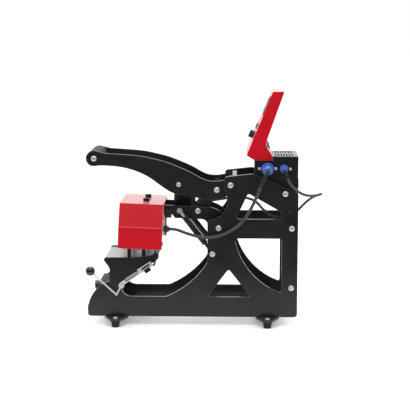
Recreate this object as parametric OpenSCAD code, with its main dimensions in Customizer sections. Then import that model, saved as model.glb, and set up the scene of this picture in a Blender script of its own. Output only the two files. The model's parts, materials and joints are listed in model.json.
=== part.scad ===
// Cap heat press: two laser-cut side plates carry a lever handle, a hinged heater arm
// on gas springs, a curved cap form on the nose and a control box with a tilted head.
// Millimetres. +X is the rear of the machine, -X the operator's side, +Z up.
// The origin is on the ground, midway along and across the frame.

/* [Frame] */
// Length of the side plates
frame_len = 519; // [500:1:560]
// Outside width over the two side plates
frame_width = 142; // [138:1:170]
// Thickness of each side plate
frame_t = 8; // [6:1:10]
// Height of the nose and throat floor above the bottom of the plates
throat_h = 50; // [44:1:56]

/* [Feet] */
// Height of the rubber feet
foot_h = 16.5; // [12:0.5:25]
// Thickness of the cross feet
crossfoot_t = 5; // [4:0.5:8]
// Width of a cross foot from tip to tip
crossfoot_span = 208; // [200:1:260]
// Width of a cross foot at its tips
crossfoot_tip = 24; // [22:1:34]
// Diameter of a rubber foot at its top
foot_d = 23; // [18:1:24]

/* [Linkage] */
// Thickness of the handle plates
handle_t = 6; // [5:0.5:8]
// Thickness of the arm plates
arm_t = 6; // [5:0.5:8]
// Thickness of the links
link_t = 6; // [5:0.5:8]
// Width of the links
link_w = 26; // [20:1:27]
// Diameter of the handle and arm pivot shafts
pivot_d = 16; // [14:1:20]
// Diameter of the cross pin at the foot of the links
link_pin_d = 12; // [10:1:13]
// Diameter of the grip tube
grip_d = 39; // [32:1:40]
// Radial running clearance of the pivots
run_gap = 0.05; // [0.02:0.01:0.08]
// Radial clearance of the open pivot at the foot of the links
link_open_gap = 3.6; // [3.5:0.1:4]
// Radial clearance of the open pivot at the foot of the gas springs
spring_open_gap = 1.1; // [1:0.1:1.5]

/* [Gas springs] */
// Diameter of the pressure tube
tube_d = 15; // [12:0.5:15]
// Diameter of the piston rod
rod_d = 6; // [5:0.5:8]
// Outside diameter of the rod eye
rod_eye_d = 14; // [13:0.5:15]

/* [Heater] */
// Length of the heater housing, front to rear
heater_len = 108; // [100:1:112]
// Width of the flat top of the housing
heater_top_w = 152; // [130:1:156]
// Width of the housing at its lower edge
heater_w = 190; // [186:1:200]
// Sheet thickness of the housing
heater_sheet = 2; // [1.5:0.5:3]
// Forward tilt of the heater and of the form, in degrees
press_tilt = 2.2; // [0:0.1:2.6]
// Thickness of the curved heating block
block_t = 14; // [10:1:14]

/* [Form] */
// Radius of the pad on the cap form
form_r = 116; // [112:1:118]
// Thickness of the silicone pad
pad_t = 3; // [2:0.5:5]
// Thickness of the form's aluminium shell
form_t = 8; // [5:0.5:9]
// Length of the form, front to rear
form_len = 88; // [70:1:90]
// Gap between pad and heating block when closed
press_gap = 1.5; // [1:0.5:3]
// Gap between each platen side plate and the frame's side plate
platen_gap = 3; // [3:0.5:8]
// Thickness of the platen side plates
platen_t = 4; // [3:0.5:4]
// Thickness of the platen deck
deck_t = 3; // [2:0.5:4]
// Diameter of the posts under the form
post_d = 10; // [8:1:12]

/* [Hold-down] */
// Diameter of the ball knob
ball_d = 24; // [20:1:28]
// Diameter of the lever and bail rods
rod_wire_d = 4; // [3:0.5:5]

/* [Control unit] */
// Height of the control box
box_h = 86; // [80:1:90]
// Sheet thickness of the control box
box_sheet = 1.5; // [1:0.5:2]
// Gap between the control box and each side wall of the control head
head_gap = 1; // [0.5:0.5:5]
// Wall of the control head
head_wall = 2.5; // [2:0.5:3]
// Diameter of the heater socket
big_socket_d = 28; // [24:1:30]
// Diameter of the magnet socket
small_socket_d = 18; // [14:1:20]
// Diameter of the rotary knob
dial_d = 18; // [14:1:24]

/* [Cables] */
// Diameter of the heater cable
heater_cable_d = 8; // [6:0.5:8]
// Diameter of the magnet cable
magnet_cable_d = 6.5; // [5:0.5:7]

/* [Hidden] */
$fn = 48;

// Pivot centres as [x, z], at rest
P_HANDLE = [94, 351];
P_LINK_TOP = [60.5, 338];
P_ARM = [65, 244.5];
P_SPRING_LOW = [50, 180];
P_LINK_LOW = [13.5, 283];
P_SPRING_TOP = [-31, 285];
P_ARMATURE = [-33, 351];
P_GRIP = [-240, 414];
P_SPACER_HIGH = [244, 244.5];
P_SPACER_LOW = [244, 95.5];
P_BOX_BOLT = [227.5, 330];
P_BOX_SCREW = [172, 359];
P_CLIP = [238.5, 285];
P_HOLDDOWN = [-174, 102];

// Widths across the machine, each the distance of a face from the middle plane
frame_out = frame_width / 2;
frame_in = frame_out - frame_t;
handle_out = frame_in - 1;
handle_in = handle_out - handle_t;
spring_y = frame_in - 1.25 - tube_d / 2;
arm_out = spring_y - tube_d / 2 - 0.75;
arm_in = arm_out - arm_t;
link_out = arm_in - 1;
link_in = link_out - link_t;
platen_w = frame_width + 2 * (platen_gap + platen_t);
platen_out = platen_w / 2;
platen_in = platen_out - platen_t;

// Heights
base_z = foot_h + crossfoot_t;
throat_z = base_z + throat_h;
deck_z = 168;

// Fasteners
bolt_d = 8;
bolt_head_d = 14;
bolt_head_h = 4.5;
box_screw_d = 5;
hole_gap = 0.1;

// ---------------------------------------------------------------- helpers

// Points on an arc about c from angle a0 to a1
function arc(c, r, a0, a1, n = 16) =
    [for (i = [0 : n]) c + r * [cos(a0 + (a1 - a0) * i / n), sin(a0 + (a1 - a0) * i / n)]];

// Outline through [x, z, r] corners, each rounded to its own radius
function corner(a, p, b, n) =
    let (
        r = p[2],
        u = [a[0] - p[0], a[1] - p[1]] / norm([a[0] - p[0], a[1] - p[1]]),
        v = [b[0] - p[0], b[1] - p[1]] / norm([b[0] - p[0], b[1] - p[1]]),
        half = acos(max(-1, min(1, u * v))) / 2,
        mid = (u + v) / max(1e-9, norm(u + v)),
        c = [p[0], p[1]] + mid * r / sin(half),
        t0 = [p[0], p[1]] + u * r / tan(half) - c,
        t1 = [p[0], p[1]] + v * r / tan(half) - c,
        a0 = atan2(t0[1], t0[0]),
        d = atan2(t1[1], t1[0]) - a0,
        turn = d > 180 ? d - 360 : d < -180 ? d + 360 : d
    )
    r <= 0 || half > 89.5
        ? [[p[0], p[1]]]
        : [for (i = [0 : n]) c + r * [cos(a0 + turn * i / n), sin(a0 + turn * i / n)]];
function rounded(path, n = 6) =
    let (m = len(path))
    [for (i = [0 : m - 1]) each corner(path[(i + m - 1) % m], path[i], path[(i + 1) % m], n)];

// Sharp points of an arc, ready for use inside a rounded() path
function sharp(points) = [for (p = points) [p[0], p[1], 0]];

// Smooth curve through points (Catmull-Rom)
function smooth_point(a, b, c, d, t) =
    0.5 * ((2 * b) + (c - a) * t + (2 * a - 5 * b + 4 * c - d) * t * t
        + (3 * b - a - 3 * c + d) * t * t * t);
function smooth(p, n = 4) =
    let (m = len(p))
    concat(
        [for (i = [0 : m - 2], j = [0 : n - 1])
            smooth_point(p[max(0, i - 1)], p[i], p[i + 1], p[min(m - 1, i + 2)], j / n)],
        [p[m - 1]]
    );

// Extrudes an x-z outline from y0 to y1
module across(y0, y1) {
    translate([0, y1, 0]) rotate([90, 0, 0]) linear_extrude(y1 - y0) children();
}
// Round bar along Y, centred on [x, z]
module bar_y(p, y0, y1, d) {
    translate([p[0], y1, p[1]]) rotate([90, 0, 0]) cylinder(d = d, h = y1 - y0);
}
// A copy on each side of the middle plane
module both_sides() {
    children();
    mirror([0, 1, 0]) children();
}
// Button-head screw lying along Y: the head's seat is at y = -seat, the shank runs inwards
module button_screw(p, seat, shank, head = bolt_head_d, head_h = bolt_head_h, d = bolt_d) {
    translate([p[0], -seat, p[1]]) rotate([90, 0, 0]) {
        difference() {
            rotate_extrude() polygon(concat(
                [[0, 0], [head / 2, 0], [head / 2, head_h * 0.25]],
                [for (i = [1 : 6]) [head / 2 * cos(15 * i), head_h * (0.25 + 0.75 * sin(15 * i))]]
            ));
            translate([0, 0, head_h * 0.4]) cylinder(d = head * 0.38, h = head_h, $fn = 6);
        }
        translate([0, 0, -shank]) cylinder(d = d, h = shank + 0.5);
    }
}
// Cross shaft between two plates, with a tapped hole in each end
module cross_shaft(p, half, d, tap = bolt_d) {
    difference() {
        bar_y(p, -half, half, d);
        both_sides() bar_y(p, -half - 1, -half + 22, tap + hole_gap);
    }
}

// Turns things by the press tilt about the middle of the heater
tilt_x = -125;
tilt_z = 252;
module tilted() {
    translate([tilt_x, 0, tilt_z]) rotate([0, press_tilt, 0]) translate([-tilt_x, 0, -tilt_z])
        children();
}

// ---------------------------------------------------------------- frame

rear_x = frame_len / 2;
front_x = -frame_len / 2;
nose_r = 80;
nose_c = [front_x + nose_r - 0.5, 34];
neck_r = 50.4;
neck_c = [38, 314];
rib_r = 177;
rib_c = [279, 249];
column_x = 37.5;
throat_end = [30, 146];

// Arc from a to b with radius r, bulging to the right of the way from a to b
function arc_between(a, b, r, n = 12) =
    let (
        d = b - a,
        h = sqrt(r * r - d * d / 4),
        c = (a + b) / 2 + [-d[1], d[0]] / norm(d) * h,
        a0 = atan2(a[1] - c[1], a[0] - c[0]),
        w = 2 * asin(norm(d) / 2 / r)
    )
    arc(c, r, a0, a0 + w, n);

function side_outline() = rounded(concat(
    [[front_x, base_z, 8], [rear_x, base_z, 9], [rear_x, 330, 5]],
    [[148, 379, 18], [79, 371, 8], [79, 341, 10]],
    sharp(arc(neck_c, neck_r, 0, -85, 12)),
    [[column_x, 262, 3], [column_x, 160, 6]],
    sharp([for (i = [12 : -1 : 0]) arc_between([-60, throat_z + 2], throat_end, 230)[i]]),
    [[-66, throat_z, 10], [-178, throat_z, 28], [-178, 114, 3]],
    sharp(arc(nose_c, nose_r, 92, 168, 10)),
    [[front_x, 48, 3]]
));
function window_arch() = rounded([[107, 267, 6], [220, 267, 8], [220, 284, 8], [137, 331, 5]]);
function window_rib() = rounded(concat(
    [[220, 219, 3]],
    [[105.5, 219, 6]],
    sharp(arc(rib_c, rib_r, 194, 244, 16)),
    [[220, 82, 4]]
));
function window_foot() = rounded([[37, throat_z, 3], [145, throat_z, 3], [90, 142, 4]]);

// Outline of one side plate with its windows and bolt holes
module side_plate_2d() {
    difference() {
        polygon(side_outline());
        polygon(window_arch());
        polygon(window_rib());
        polygon(window_foot());
    }
}
frame_holes = [P_HANDLE, P_ARM, P_SPRING_LOW, P_SPACER_HIGH, P_SPACER_LOW, P_BOX_BOLT];
module side_plate() {
    color("#1c1d20") difference() {
        across(-frame_out, -frame_in) side_plate_2d();
        for (p = frame_holes) bar_y(p, -frame_out - 1, -frame_in + 1, bolt_d + 2 * hole_gap);
        for (p = [P_BOX_SCREW, P_CLIP])
            bar_y(p, -frame_out - 1, -frame_in + 1, box_screw_d + 2 * hole_gap);
    }
}
module side_plate_right() { side_plate(); }
module side_plate_left() { mirror([0, 1, 0]) side_plate(); }

spacer_d = 16;
stop_x = [98.5, 109];
stop_z = [368.5, 371.5];
module frame_spacers() {
    color("#2a2b2e") {
        for (p = [P_SPACER_HIGH, P_SPACER_LOW]) cross_shaft(p, frame_in, spacer_d);
        translate([stop_x[0], -frame_in, stop_z[0]])
            cube([stop_x[1] - stop_x[0], 2 * frame_in, stop_z[1] - stop_z[0]]);
    }
}
module handle_pivot_shaft() { color("silver") cross_shaft(P_HANDLE, frame_in, pivot_d); }

collar_d = 24;
module arm_pivot_shaft() {
    color("silver") {
        cross_shaft(P_ARM, frame_in, pivot_d);
        both_sides() difference() {
            bar_y(P_ARM, -frame_in, -arm_out - 0.5, collar_d);
            bar_y(P_ARM, -frame_in - 1, -arm_out + 1, pivot_d - 0.5);
        }
    }
}
anchor_d = 10;
module spring_anchor_pins() {
    color("silver") both_sides() difference() {
        bar_y(P_SPRING_LOW, -frame_in, -arm_out - 0.5, anchor_d);
        bar_y(P_SPRING_LOW, -frame_in - 1, -frame_in + 12, bolt_d - 2 + hole_gap);
    }
}
module frame_bolts() {
    color("silver") both_sides() {
        for (p = [P_HANDLE, P_ARM, P_SPACER_HIGH, P_SPACER_LOW])
            button_screw(p, frame_out, frame_t + 18);
        button_screw(P_BOX_BOLT, frame_out, frame_t + 12);
        button_screw(P_BOX_SCREW, frame_out, frame_t + 8, 9, 3, box_screw_d);
        button_screw(P_SPRING_LOW, frame_out, frame_t + 10, d = bolt_d - 2);
    }
}

// ---------------------------------------------------------------- feet

crossfoot_root = 58;
front_foot_x = -188.5;
rear_foot_x = 186;
tip_half = crossfoot_span / 2;
foot_y = tip_half - crossfoot_tip / 2;
foot_screw_d = 6;
module crossfoot(x) {
    w = crossfoot_root / 2;
    t = crossfoot_tip / 2;
    y = frame_out - 2;
    color("#1c1d20") difference() {
        translate([x, 0, foot_h]) linear_extrude(crossfoot_t) polygon(rounded([
            [-w, -y, 2], [-t, -tip_half, 3], [t, -tip_half, 3], [w, -y, 2],
            [w, y, 2], [t, tip_half, 3], [-t, tip_half, 3], [-w, y, 2]
        ], 3));
        both_sides() translate([x, -foot_y, foot_h - 1])
            cylinder(d = foot_screw_d + 2 * hole_gap, h = crossfoot_t + 2);
    }
}
module cross_feet() {
    crossfoot(front_foot_x);
    crossfoot(rear_foot_x);
}
module each_foot() {
    for (x = [front_foot_x, rear_foot_x], s = [-1, 1]) translate([x, s * foot_y, 0]) children();
}
foot_screw_in = foot_h - 5;
module rubber_feet() {
    color("#161719") each_foot() difference() {
        rotate_extrude() polygon([[0, 0], [foot_d * 0.39, 0], [foot_d * 0.4, 1], [foot_d / 2, foot_h],
            [0, foot_h]]);
        translate([0, 0, foot_h - foot_screw_in]) cylinder(d = foot_screw_d + hole_gap, h = foot_screw_in + 1);
    }
}
module foot_bolts() {
    color("silver") each_foot() {
        translate([0, 0, foot_h + crossfoot_t]) rotate_extrude() polygon(concat(
            [[0, 0], [6, 0], [6, 0.8]], [for (i = [1 : 5]) [6 * cos(18 * i), 0.8 + 2.6 * sin(18 * i)]]));
        translate([0, 0, foot_h + 1 - foot_screw_in])
            cylinder(d = foot_screw_d, h = foot_screw_in + crossfoot_t);
    }
}

// ---------------------------------------------------------------- form mount and platen

mount_x = [-234, -180];
mount_z = [62, 100];
tongue_x = [-206, -186];
tongue_w = 60;
lock_z = 85;
lock_screw_d = 8;
module form_mount_block() {
    color("#26272a") difference() {
        translate([mount_x[0], -frame_in, mount_z[0]])
            cube([mount_x[1] - mount_x[0], 2 * frame_in, mount_z[1] - mount_z[0]]);
        translate([tongue_x[0] - 0.3, -tongue_w / 2 - 0.3, mount_z[0] + 8])
            cube([tongue_x[1] - tongue_x[0] + 0.6, tongue_w + 0.6, 60]);
        translate([mount_x[0] - 1, 0, lock_z]) rotate([0, 90, 0])
            cylinder(d = lock_screw_d + 2 * run_gap, h = tongue_x[0] - mount_x[0] + 2);
    }
}
knob_x = [-249, -235];
knob_d = 22;
module lock_knob() {
    color("#1a1b1e") translate([knob_x[0], 0, lock_z]) rotate([0, 90, 0]) {
        difference() {
            cylinder(d = knob_d, h = knob_x[1] - knob_x[0]);
            for (a = [0 : 30 : 330]) rotate(a) translate([knob_d / 2 + 1, 0, -1])
                cylinder(d = 4, h = knob_x[1] - knob_x[0] + 2, $fn = 16);
        }
        translate([0, 0, 2]) cylinder(d = lock_screw_d, h = tongue_x[0] - 0.5 - knob_x[0] - 2);
    }
}

deck_x = [-216, -101];
function platen_outline() = rounded([
    [-223, 171.5, 6], [-150, 171.5, 30], [-118, 174, 20], [-97, 178, 5], [-95, 184, 5], [-82, 184, 6],
    [-81.5, 170, 7], [-164, 107, 6], [-168, 92, 8], [-182, 90, 4], [-205, 112, 12], [-203, 144, 18]
]);
module platen_plate() {
    color("#1c1d20") difference() {
        across(-platen_out, -platen_in) polygon(platen_outline());
        bar_y(P_HOLDDOWN, -platen_out - 1, -platen_in + 1, 2 * holddown_shaft_r + 2 * run_gap);
    }
}
module platen_plate_right() { platen_plate(); }
module platen_plate_left() { mirror([0, 1, 0]) platen_plate(); }

post_x = [-155, -119];
module platen_deck() {
    color("#a9abb0") difference() {
        union() {
            translate([deck_x[0], -platen_in, deck_z - deck_t])
                cube([deck_x[1] - deck_x[0], 2 * platen_in, deck_t]);
            translate([tongue_x[0], -tongue_w / 2, mount_z[0] + 9])
                cube([tongue_x[1] - tongue_x[0], tongue_w, deck_z - deck_t - mount_z[0] - 8]);
        }
        for (x = post_x, s = [-1, 1]) translate([x, s * post_y, deck_z - deck_t - 1])
            cylinder(d = 6 + hole_gap, h = deck_t + 2);
    }
}
// The form's arc has its axis along X, under the middle of the deck
form_axis_z = 227 - form_r;
form_half_angle = 42;
// The posts stand inside the platen's plates and inside the form's edge
post_y = min(platen_in, (form_r - pad_t) * sin(form_half_angle)) - post_d / 2;
form_x = [-125 - form_len / 2, -125 + form_len / 2];
module arch_shell(r0, r1, half, x0, x1) {
    h = x1 - x0;
    translate([x0, 0, form_axis_z]) rotate([90, 0, 90]) intersection() {
        difference() {
            cylinder(r = r1, h = h, $fn = 128);
            translate([0, 0, -1]) cylinder(r = r0, h = h + 2, $fn = 128);
        }
        translate([0, 0, -2]) linear_extrude(h + 4)
            polygon([[0, 0], 2 * r1 * [sin(half), cos(half)], [0, 3 * r1], 2 * r1 * [-sin(half), cos(half)]]);
    }
}
module cap_form() {
    color("#b4b6ba") difference() {
        tilted() arch_shell(form_r - pad_t - form_t, form_r - pad_t, form_half_angle, form_x[0], form_x[1]);
        for (x = post_x, s = [-1, 1]) translate([x, s * post_y, deck_z + 10])
            cylinder(d = post_d + hole_gap, h = post_top(x) - deck_z - 10);
    }
}
// Height of the posts, up into the underside of the tilted form
function post_top(x) = form_axis_z + sqrt(pow(form_r - pad_t - form_t / 2, 2) - pow(post_y, 2))
    - (x - tilt_x) * tan(press_tilt) - 1;
module form_posts() {
    color("#17181a") for (x = post_x, s = [-1, 1]) translate([x, s * post_y, 0]) {
        translate([0, 0, deck_z]) cylinder(d = post_d, h = post_top(x) - deck_z);
        translate([0, 0, deck_z - deck_t - 5]) cylinder(d = 6, h = deck_t + 6);
        translate([0, 0, deck_z - deck_t - 5]) cylinder(d = 11, h = 5, $fn = 6);
    }
}
module form_pad() {
    color("#c9cbce") tilted() arch_shell(form_r - pad_t, form_r, form_half_angle, form_x[0] - 1, form_x[1] + 1);
}

// ---------------------------------------------------------------- cap hold-down

holddown_shaft_r = 3.4;
lever_y = platen_out + 9.5;
bail_y = platen_out + 5;
ball_p = [-250, 139];
elbow_p = [-186, 80];
// Straight round rod between two points
module rod_between(a, b, d) {
    v = b - a;
    translate(a) rotate([0, acos(v[2] / norm(v)), atan2(v[1], v[0])]) cylinder(d = d, h = norm(v));
}
module holddown_lever() {
    color("silver") {
        bar_y(P_HOLDDOWN, -lever_y - rod_wire_d / 2 - 0.5, bail_y + 3, 2 * holddown_shaft_r);
        rod_between([P_HOLDDOWN[0], -lever_y, P_HOLDDOWN[1]], [elbow_p[0], -lever_y, elbow_p[1]], rod_wire_d);
        rod_between([elbow_p[0], -lever_y, elbow_p[1]], [ball_p[0], -lever_y, ball_p[1]], rod_wire_d);
        translate([elbow_p[0], -lever_y, elbow_p[1]]) sphere(d = rod_wire_d + 0.6);
    }
}
module ball_knob() {
    v = ball_p - elbow_p;
    color("#141518") translate([ball_p[0], -lever_y, ball_p[1]]) rotate([0, atan2(v[0], v[1]), 0]) difference() {
        sphere(d = ball_d);
        translate([0, 0, -ball_d]) cylinder(d = rod_wire_d + hole_gap, h = ball_d + 0.5);
    }
}
bail_foot = [-86, 160];
bail_dir = [bail_foot[0] - P_HOLDDOWN[0], bail_foot[1] - P_HOLDDOWN[1]];
bail_angle = atan2(bail_dir[1], bail_dir[0]);
bail_d = 3;
strap_d = 6;
strap_s = 97;
function along_bail(s) = P_HOLDDOWN + bail_dir / norm(bail_dir) * s;
buckle_s = [54, 93.8];
// Local +X runs along the bail from its pivot, local +Z away from the strap's side
module on_bail(s, y = 0) {
    translate([P_HOLDDOWN[0], y, P_HOLDDOWN[1]]) rotate([0, -bail_angle, 0]) translate([s, 0, 0]) children();
}
module holddown_bail() {
    color("silver") both_sides() on_bail(0, -bail_y) {
        translate([5, 0, 0]) rotate([0, 90, 0]) cylinder(d = bail_d, h = norm(bail_dir) - 5);
        difference() {
            union() {
                bar_y([0, 0], -2.4, 2.4, 14);
                translate([0, -1.5, 0]) cube([14.5, 3, 8]);
            }
            bar_y([0, 0], -3, 3, 2 * holddown_shaft_r + hole_gap);
        }
        difference() {
            translate([buckle_s[0], -1.5, 0]) cube([buckle_s[1] - buckle_s[0], 3, 12]);
            translate([buckle_s[0] + 10, -2, 4.5]) cube([buckle_s[1] - buckle_s[0] - 16, 4, 4.5]);
        }
    }
}
module bail_springs() {
    color("#b5b0a6") both_sides() on_bail(0, -bail_y) translate([14, 0, 6.3]) rotate([0, 90, 0]) {
        difference() {
            translate([0, 0, 4]) cylinder(d = 7.6, h = buckle_s[0] - 22);
            translate([0, 0, 3]) cylinder(d = 4.4, h = buckle_s[0] - 20);
        }
        translate([0, 0, 0.5]) cylinder(d = 2, h = 5);
        translate([0, 0, buckle_s[0] - 19.5]) cylinder(d = 2, h = 5.5);
        for (z = [4, buckle_s[0] - 19.5]) translate([0, 0, z]) cylinder(d = 5, h = 1.5);
    }
}
module strap_bar() {
    color("#17181a") {
        difference() {
            bar_y(along_bail(strap_s), -bail_y - 4, bail_y + 4, strap_d);
            both_sides() on_bail(strap_s - 10, -bail_y) rotate([0, 90, 0]) cylinder(d = bail_d + hole_gap, h = 20);
        }
        both_sides() on_bail(68, -bail_y) difference() {
            translate([0, -4.5, -8]) cube([16, 9, 9.6]);
            translate([-1, 0, 0]) rotate([0, 90, 0]) cylinder(d = bail_d + hole_gap, h = 20);
            translate([-1, -1.6, 0]) cube([20, 3.2, 5]);
        }
    }
}

// ---------------------------------------------------------------- handle

lobe_r = 16;
function handle_outline() = concat(
    arc(P_GRIP, grip_d / 2, 250, 62, 14),
    smooth([[-211, 426.8], [-167, 424], [-128, 420.6], [-102, 415.6], [-69, 407.6], [-36, 395.6],
        [-4, 381.5], [22, 367], [40, 360.4], [62, 359.6], [79, 362.5]], 3),
    arc(P_HANDLE, lobe_r, 128, -60, 10),
    smooth([[97, 330], [84, 322], [64, 312.6], [34, 314], [6, 319.5], [-20, 324], [-50, 331],
        [-77, 348], [-102, 366.2], [-126, 379], [-151, 388], [-175, 393.4], [-200, 396], [-222, 397]], 3)
);
handle_holes = [P_LINK_TOP, P_ARMATURE, P_GRIP];
module handle_plate() {
    color("#1c1d20") difference() {
        across(-handle_out, -handle_in) polygon(handle_outline());
        for (p = handle_holes) bar_y(p, -handle_out - 1, -handle_in + 1, bolt_d + 2 * hole_gap);
        bar_y(P_HANDLE, -handle_out - 1, -handle_in + 1, pivot_d + 2 * run_gap);
    }
}
module handle_plate_right() { handle_plate(); }
module handle_plate_left() { mirror([0, 1, 0]) handle_plate(); }
module handle_grip() {
    color("#17181a") difference() {
        bar_y(P_GRIP, -handle_in, handle_in, grip_d);
        bar_y(P_GRIP, -handle_in - 1, handle_in + 1, 2 * bolt_d);
        both_sides() bar_y(P_GRIP, -handle_in - 1, -handle_in + 6, grip_d - 8);
    }
    color("#2a2b2e") cross_shaft(P_GRIP, handle_in, 2 * bolt_d - hole_gap);
}
module link_pin_upper() { color("silver") cross_shaft(P_LINK_TOP, handle_in, pivot_d); }

magnet_d = 54;
magnet_c = -21;
magnet_z = [284, 312];
armature_gap = 0.5;
armature_h = 12;
carrier_z = magnet_z[1] + armature_gap + armature_h;
module armature_carrier() {
    color("#26272a") difference() {
        union() {
            translate([P_ARMATURE[0] - 12, -handle_in, P_ARMATURE[1] - 10]) cube([24, 2 * handle_in, 20]);
            translate([P_ARMATURE[0] - 12, -30, carrier_z]) cube([24, 60, P_ARMATURE[1] - 10 - carrier_z]);
            translate([magnet_c - 27, -30, carrier_z]) cube([54, 60, 7]);
        }
        both_sides() bar_y(P_ARMATURE, -handle_in - 1, -handle_in + 22, bolt_d + hole_gap);
        translate([magnet_c + 15, 0, carrier_z - 1]) cylinder(d = 6 + hole_gap, h = 9);
    }
}
module armature_plate() {
    color("#3a3b3e") translate([magnet_c, 0, carrier_z - armature_h]) {
        cylinder(d = magnet_d, h = armature_h);
        translate([15, 0, armature_h - 1]) cylinder(d = 6, h = 12);
    }
}
module handle_bolts() {
    color("silver") both_sides() {
        for (p = [P_LINK_TOP, P_GRIP]) button_screw(p, handle_out, handle_t + 18);
        button_screw(P_ARMATURE, handle_out, handle_t + 18, 11.5, 3.4);
    }
}

// ---------------------------------------------------------------- links

link_eye_r = 14;
module link_body(y0, y1) {
    v = P_LINK_LOW - P_LINK_TOP;
    difference() {
        union() {
            bar_y(P_LINK_TOP, y0, y1, 2 * link_eye_r);
            bar_y(P_LINK_LOW, y0, y1, 2 * link_eye_r);
            translate([P_LINK_TOP[0], 0, P_LINK_TOP[1]]) rotate([0, -atan2(v[1], v[0]), 0])
                translate([0, y0, -link_w / 2]) cube([norm(v), y1 - y0, link_w]);
        }
        bar_y(P_LINK_TOP, y0 - 1, y1 + 1, pivot_d + 2 * run_gap);
        bar_y(P_LINK_LOW, y0 - 1, y1 + 1, link_pin_d + 2 * link_open_gap);
    }
}
module links() { color("#222326") both_sides() link_body(-link_out, -link_in); }

// ---------------------------------------------------------------- heater arm

arm_lobe = 21;
function arm_outline() = rounded([
    [-152, 301, 6], [66, 291.5, 54], [P_ARM[0] + arm_lobe, 262, 14],
    [P_ARM[0] + arm_lobe, P_ARM[1] - arm_lobe, 20], [P_ARM[0] - arm_lobe, P_ARM[1] - arm_lobe, 14],
    [34, 262, 14], [-44, 265, 3], [-49, 274, 4], [-152, 278, 6]
]);
arm_pin_d = 8;
cross_screws = [[-142, 282.5], [-101, 282.5]];
module arm_plate() {
    color("#1c1d20") difference() {
        across(-arm_out, -arm_in) polygon(arm_outline());
        bar_y(P_ARM, -arm_out - 1, -arm_in + 1, pivot_d + 2 * run_gap);
        for (p = [P_LINK_LOW, P_SPRING_TOP])
            bar_y(p, -arm_out - 1, -arm_in + 1, bolt_d - 2 + 2 * hole_gap);
        for (p = cross_screws) bar_y(p, -arm_out - 1, -arm_in + 1, 4 + 2 * hole_gap);
    }
}
module arm_plate_right() { arm_plate(); }
module arm_plate_left() { mirror([0, 1, 0]) arm_plate(); }
module link_pin_lower() { color("silver") cross_shaft(P_LINK_LOW, arm_in, link_pin_d, bolt_d - 2); }

cross_t = 7;
cross_x = [-151, -92];
cross_z = 279;
heater_bolt_x = -116;
heater_bolt_y = 32;
module arm_cross_plates() {
    color("#26272a") difference() {
        union() {
            translate([cross_x[0], -arm_in, cross_z]) cube([cross_x[1] - cross_x[0], 2 * arm_in, cross_t]);
            translate([magnet_c - 27, -arm_in, magnet_z[0] - cross_t]) cube([42.5, 2 * arm_in, cross_t]);
        }
        tilted() heater_bolt_holes();
        translate([magnet_c, 0, magnet_z[0] - cross_t - 1]) cylinder(d = 8 + hole_gap, h = cross_t + 2);
        both_sides() for (p = cross_screws) bar_y(p, -arm_out, -arm_in + 14, 4 + hole_gap);
    }
}
module electromagnet() {
    color("#202124") translate([magnet_c, 0, 0]) {
        translate([0, 0, magnet_z[0]]) difference() {
            cylinder(d = magnet_d, h = magnet_z[1] - magnet_z[0]);
            translate([0, 0, magnet_z[1] - magnet_z[0] - 1.5]) difference() {
                cylinder(d = magnet_d - 12, h = 2);
                translate([0, 0, -1]) cylinder(d = magnet_d - 30, h = 4);
            }
        }
        translate([0, 0, magnet_z[0] - cross_t - 5]) cylinder(d = 8, h = cross_t + 6);
        translate([0, 0, magnet_z[0] - cross_t - 6.5]) cylinder(d = 14, h = 6.4, $fn = 6);
        translate([magnet_d / 2 - 2, 0, magnet_z[0] + 12]) rotate([0, 90, 0]) difference() {
            cylinder(d = 9, h = 8);
            translate([0, 0, 6]) cylinder(d = magnet_cable_d + 2 * hole_gap, h = 5);
        }
    }
}
module arm_bolts() {
    color("silver") both_sides() {
        button_screw(P_LINK_LOW, arm_out, arm_t + 18, d = bolt_d - 2);
        difference() {
            bar_y(P_SPRING_TOP, -spring_y - tube_d / 2 + 2, -arm_out, arm_pin_d);
            translate([0, -spring_y - tube_d / 2 + 1, 0]) bar_y(P_SPRING_TOP, 0, 5, 3.6, $fn = 6);
        }
        bar_y(P_SPRING_TOP, -arm_out - 1, -arm_in, bolt_d - 2);
        bar_y(P_SPRING_TOP, -spring_y + rod_eye_t / 2 + 0.3, -arm_out, arm_pin_d + 4);
        for (p = cross_screws) button_screw(p, arm_out, arm_t + 12, 7.5, 2.4, 4);
    }
}

// ---------------------------------------------------------------- gas springs

rod_eye_t = 8;
spring_vec = P_SPRING_LOW - P_SPRING_TOP;
spring_len = norm(spring_vec);
spring_angle = atan2(spring_vec[0], spring_vec[1]);
tube_start = 19;
tube_end = spring_len - 30;
tube_wall = 1.5;
guide_len = 5;
piston_end = tube_end - 12;
// Local +Z runs from the upper eye to the lower eye
module at_spring(y) { translate([P_SPRING_TOP[0], y, P_SPRING_TOP[1]]) rotate([0, spring_angle, 0]) children(); }
module eye(r, t, hole) {
    rotate([90, 0, 0]) translate([0, 0, -t / 2]) difference() {
        cylinder(r = r, h = t);
        translate([0, 0, -1]) cylinder(d = hole, h = t + 2);
    }
}
module pin_hole(r) { rotate([90, 0, 0]) cylinder(r = r, h = 40, center = true); }
module gas_spring_tubes() {
    color("#1a1b1d") for (s = [-1, 1]) at_spring(s * spring_y) {
        difference() {
            translate([0, 0, tube_start]) cylinder(d = tube_d, h = tube_end - tube_start);
            translate([0, 0, tube_start + guide_len])
                cylinder(d = tube_d - 2 * tube_wall, h = tube_end - tube_start - guide_len - 4);
            translate([0, 0, tube_start - 1]) cylinder(d = rod_d + 2 * run_gap, h = guide_len + 2);
        }
        difference() {
            union() {
                translate([0, 0, tube_end - 1]) cylinder(d = 9, h = spring_len - tube_end - 6);
                translate([0, 0, spring_len]) eye(9.5, 10, 4);
            }
            translate([0, 0, spring_len]) pin_hole(anchor_d / 2 + spring_open_gap);
        }
    }
}
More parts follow.
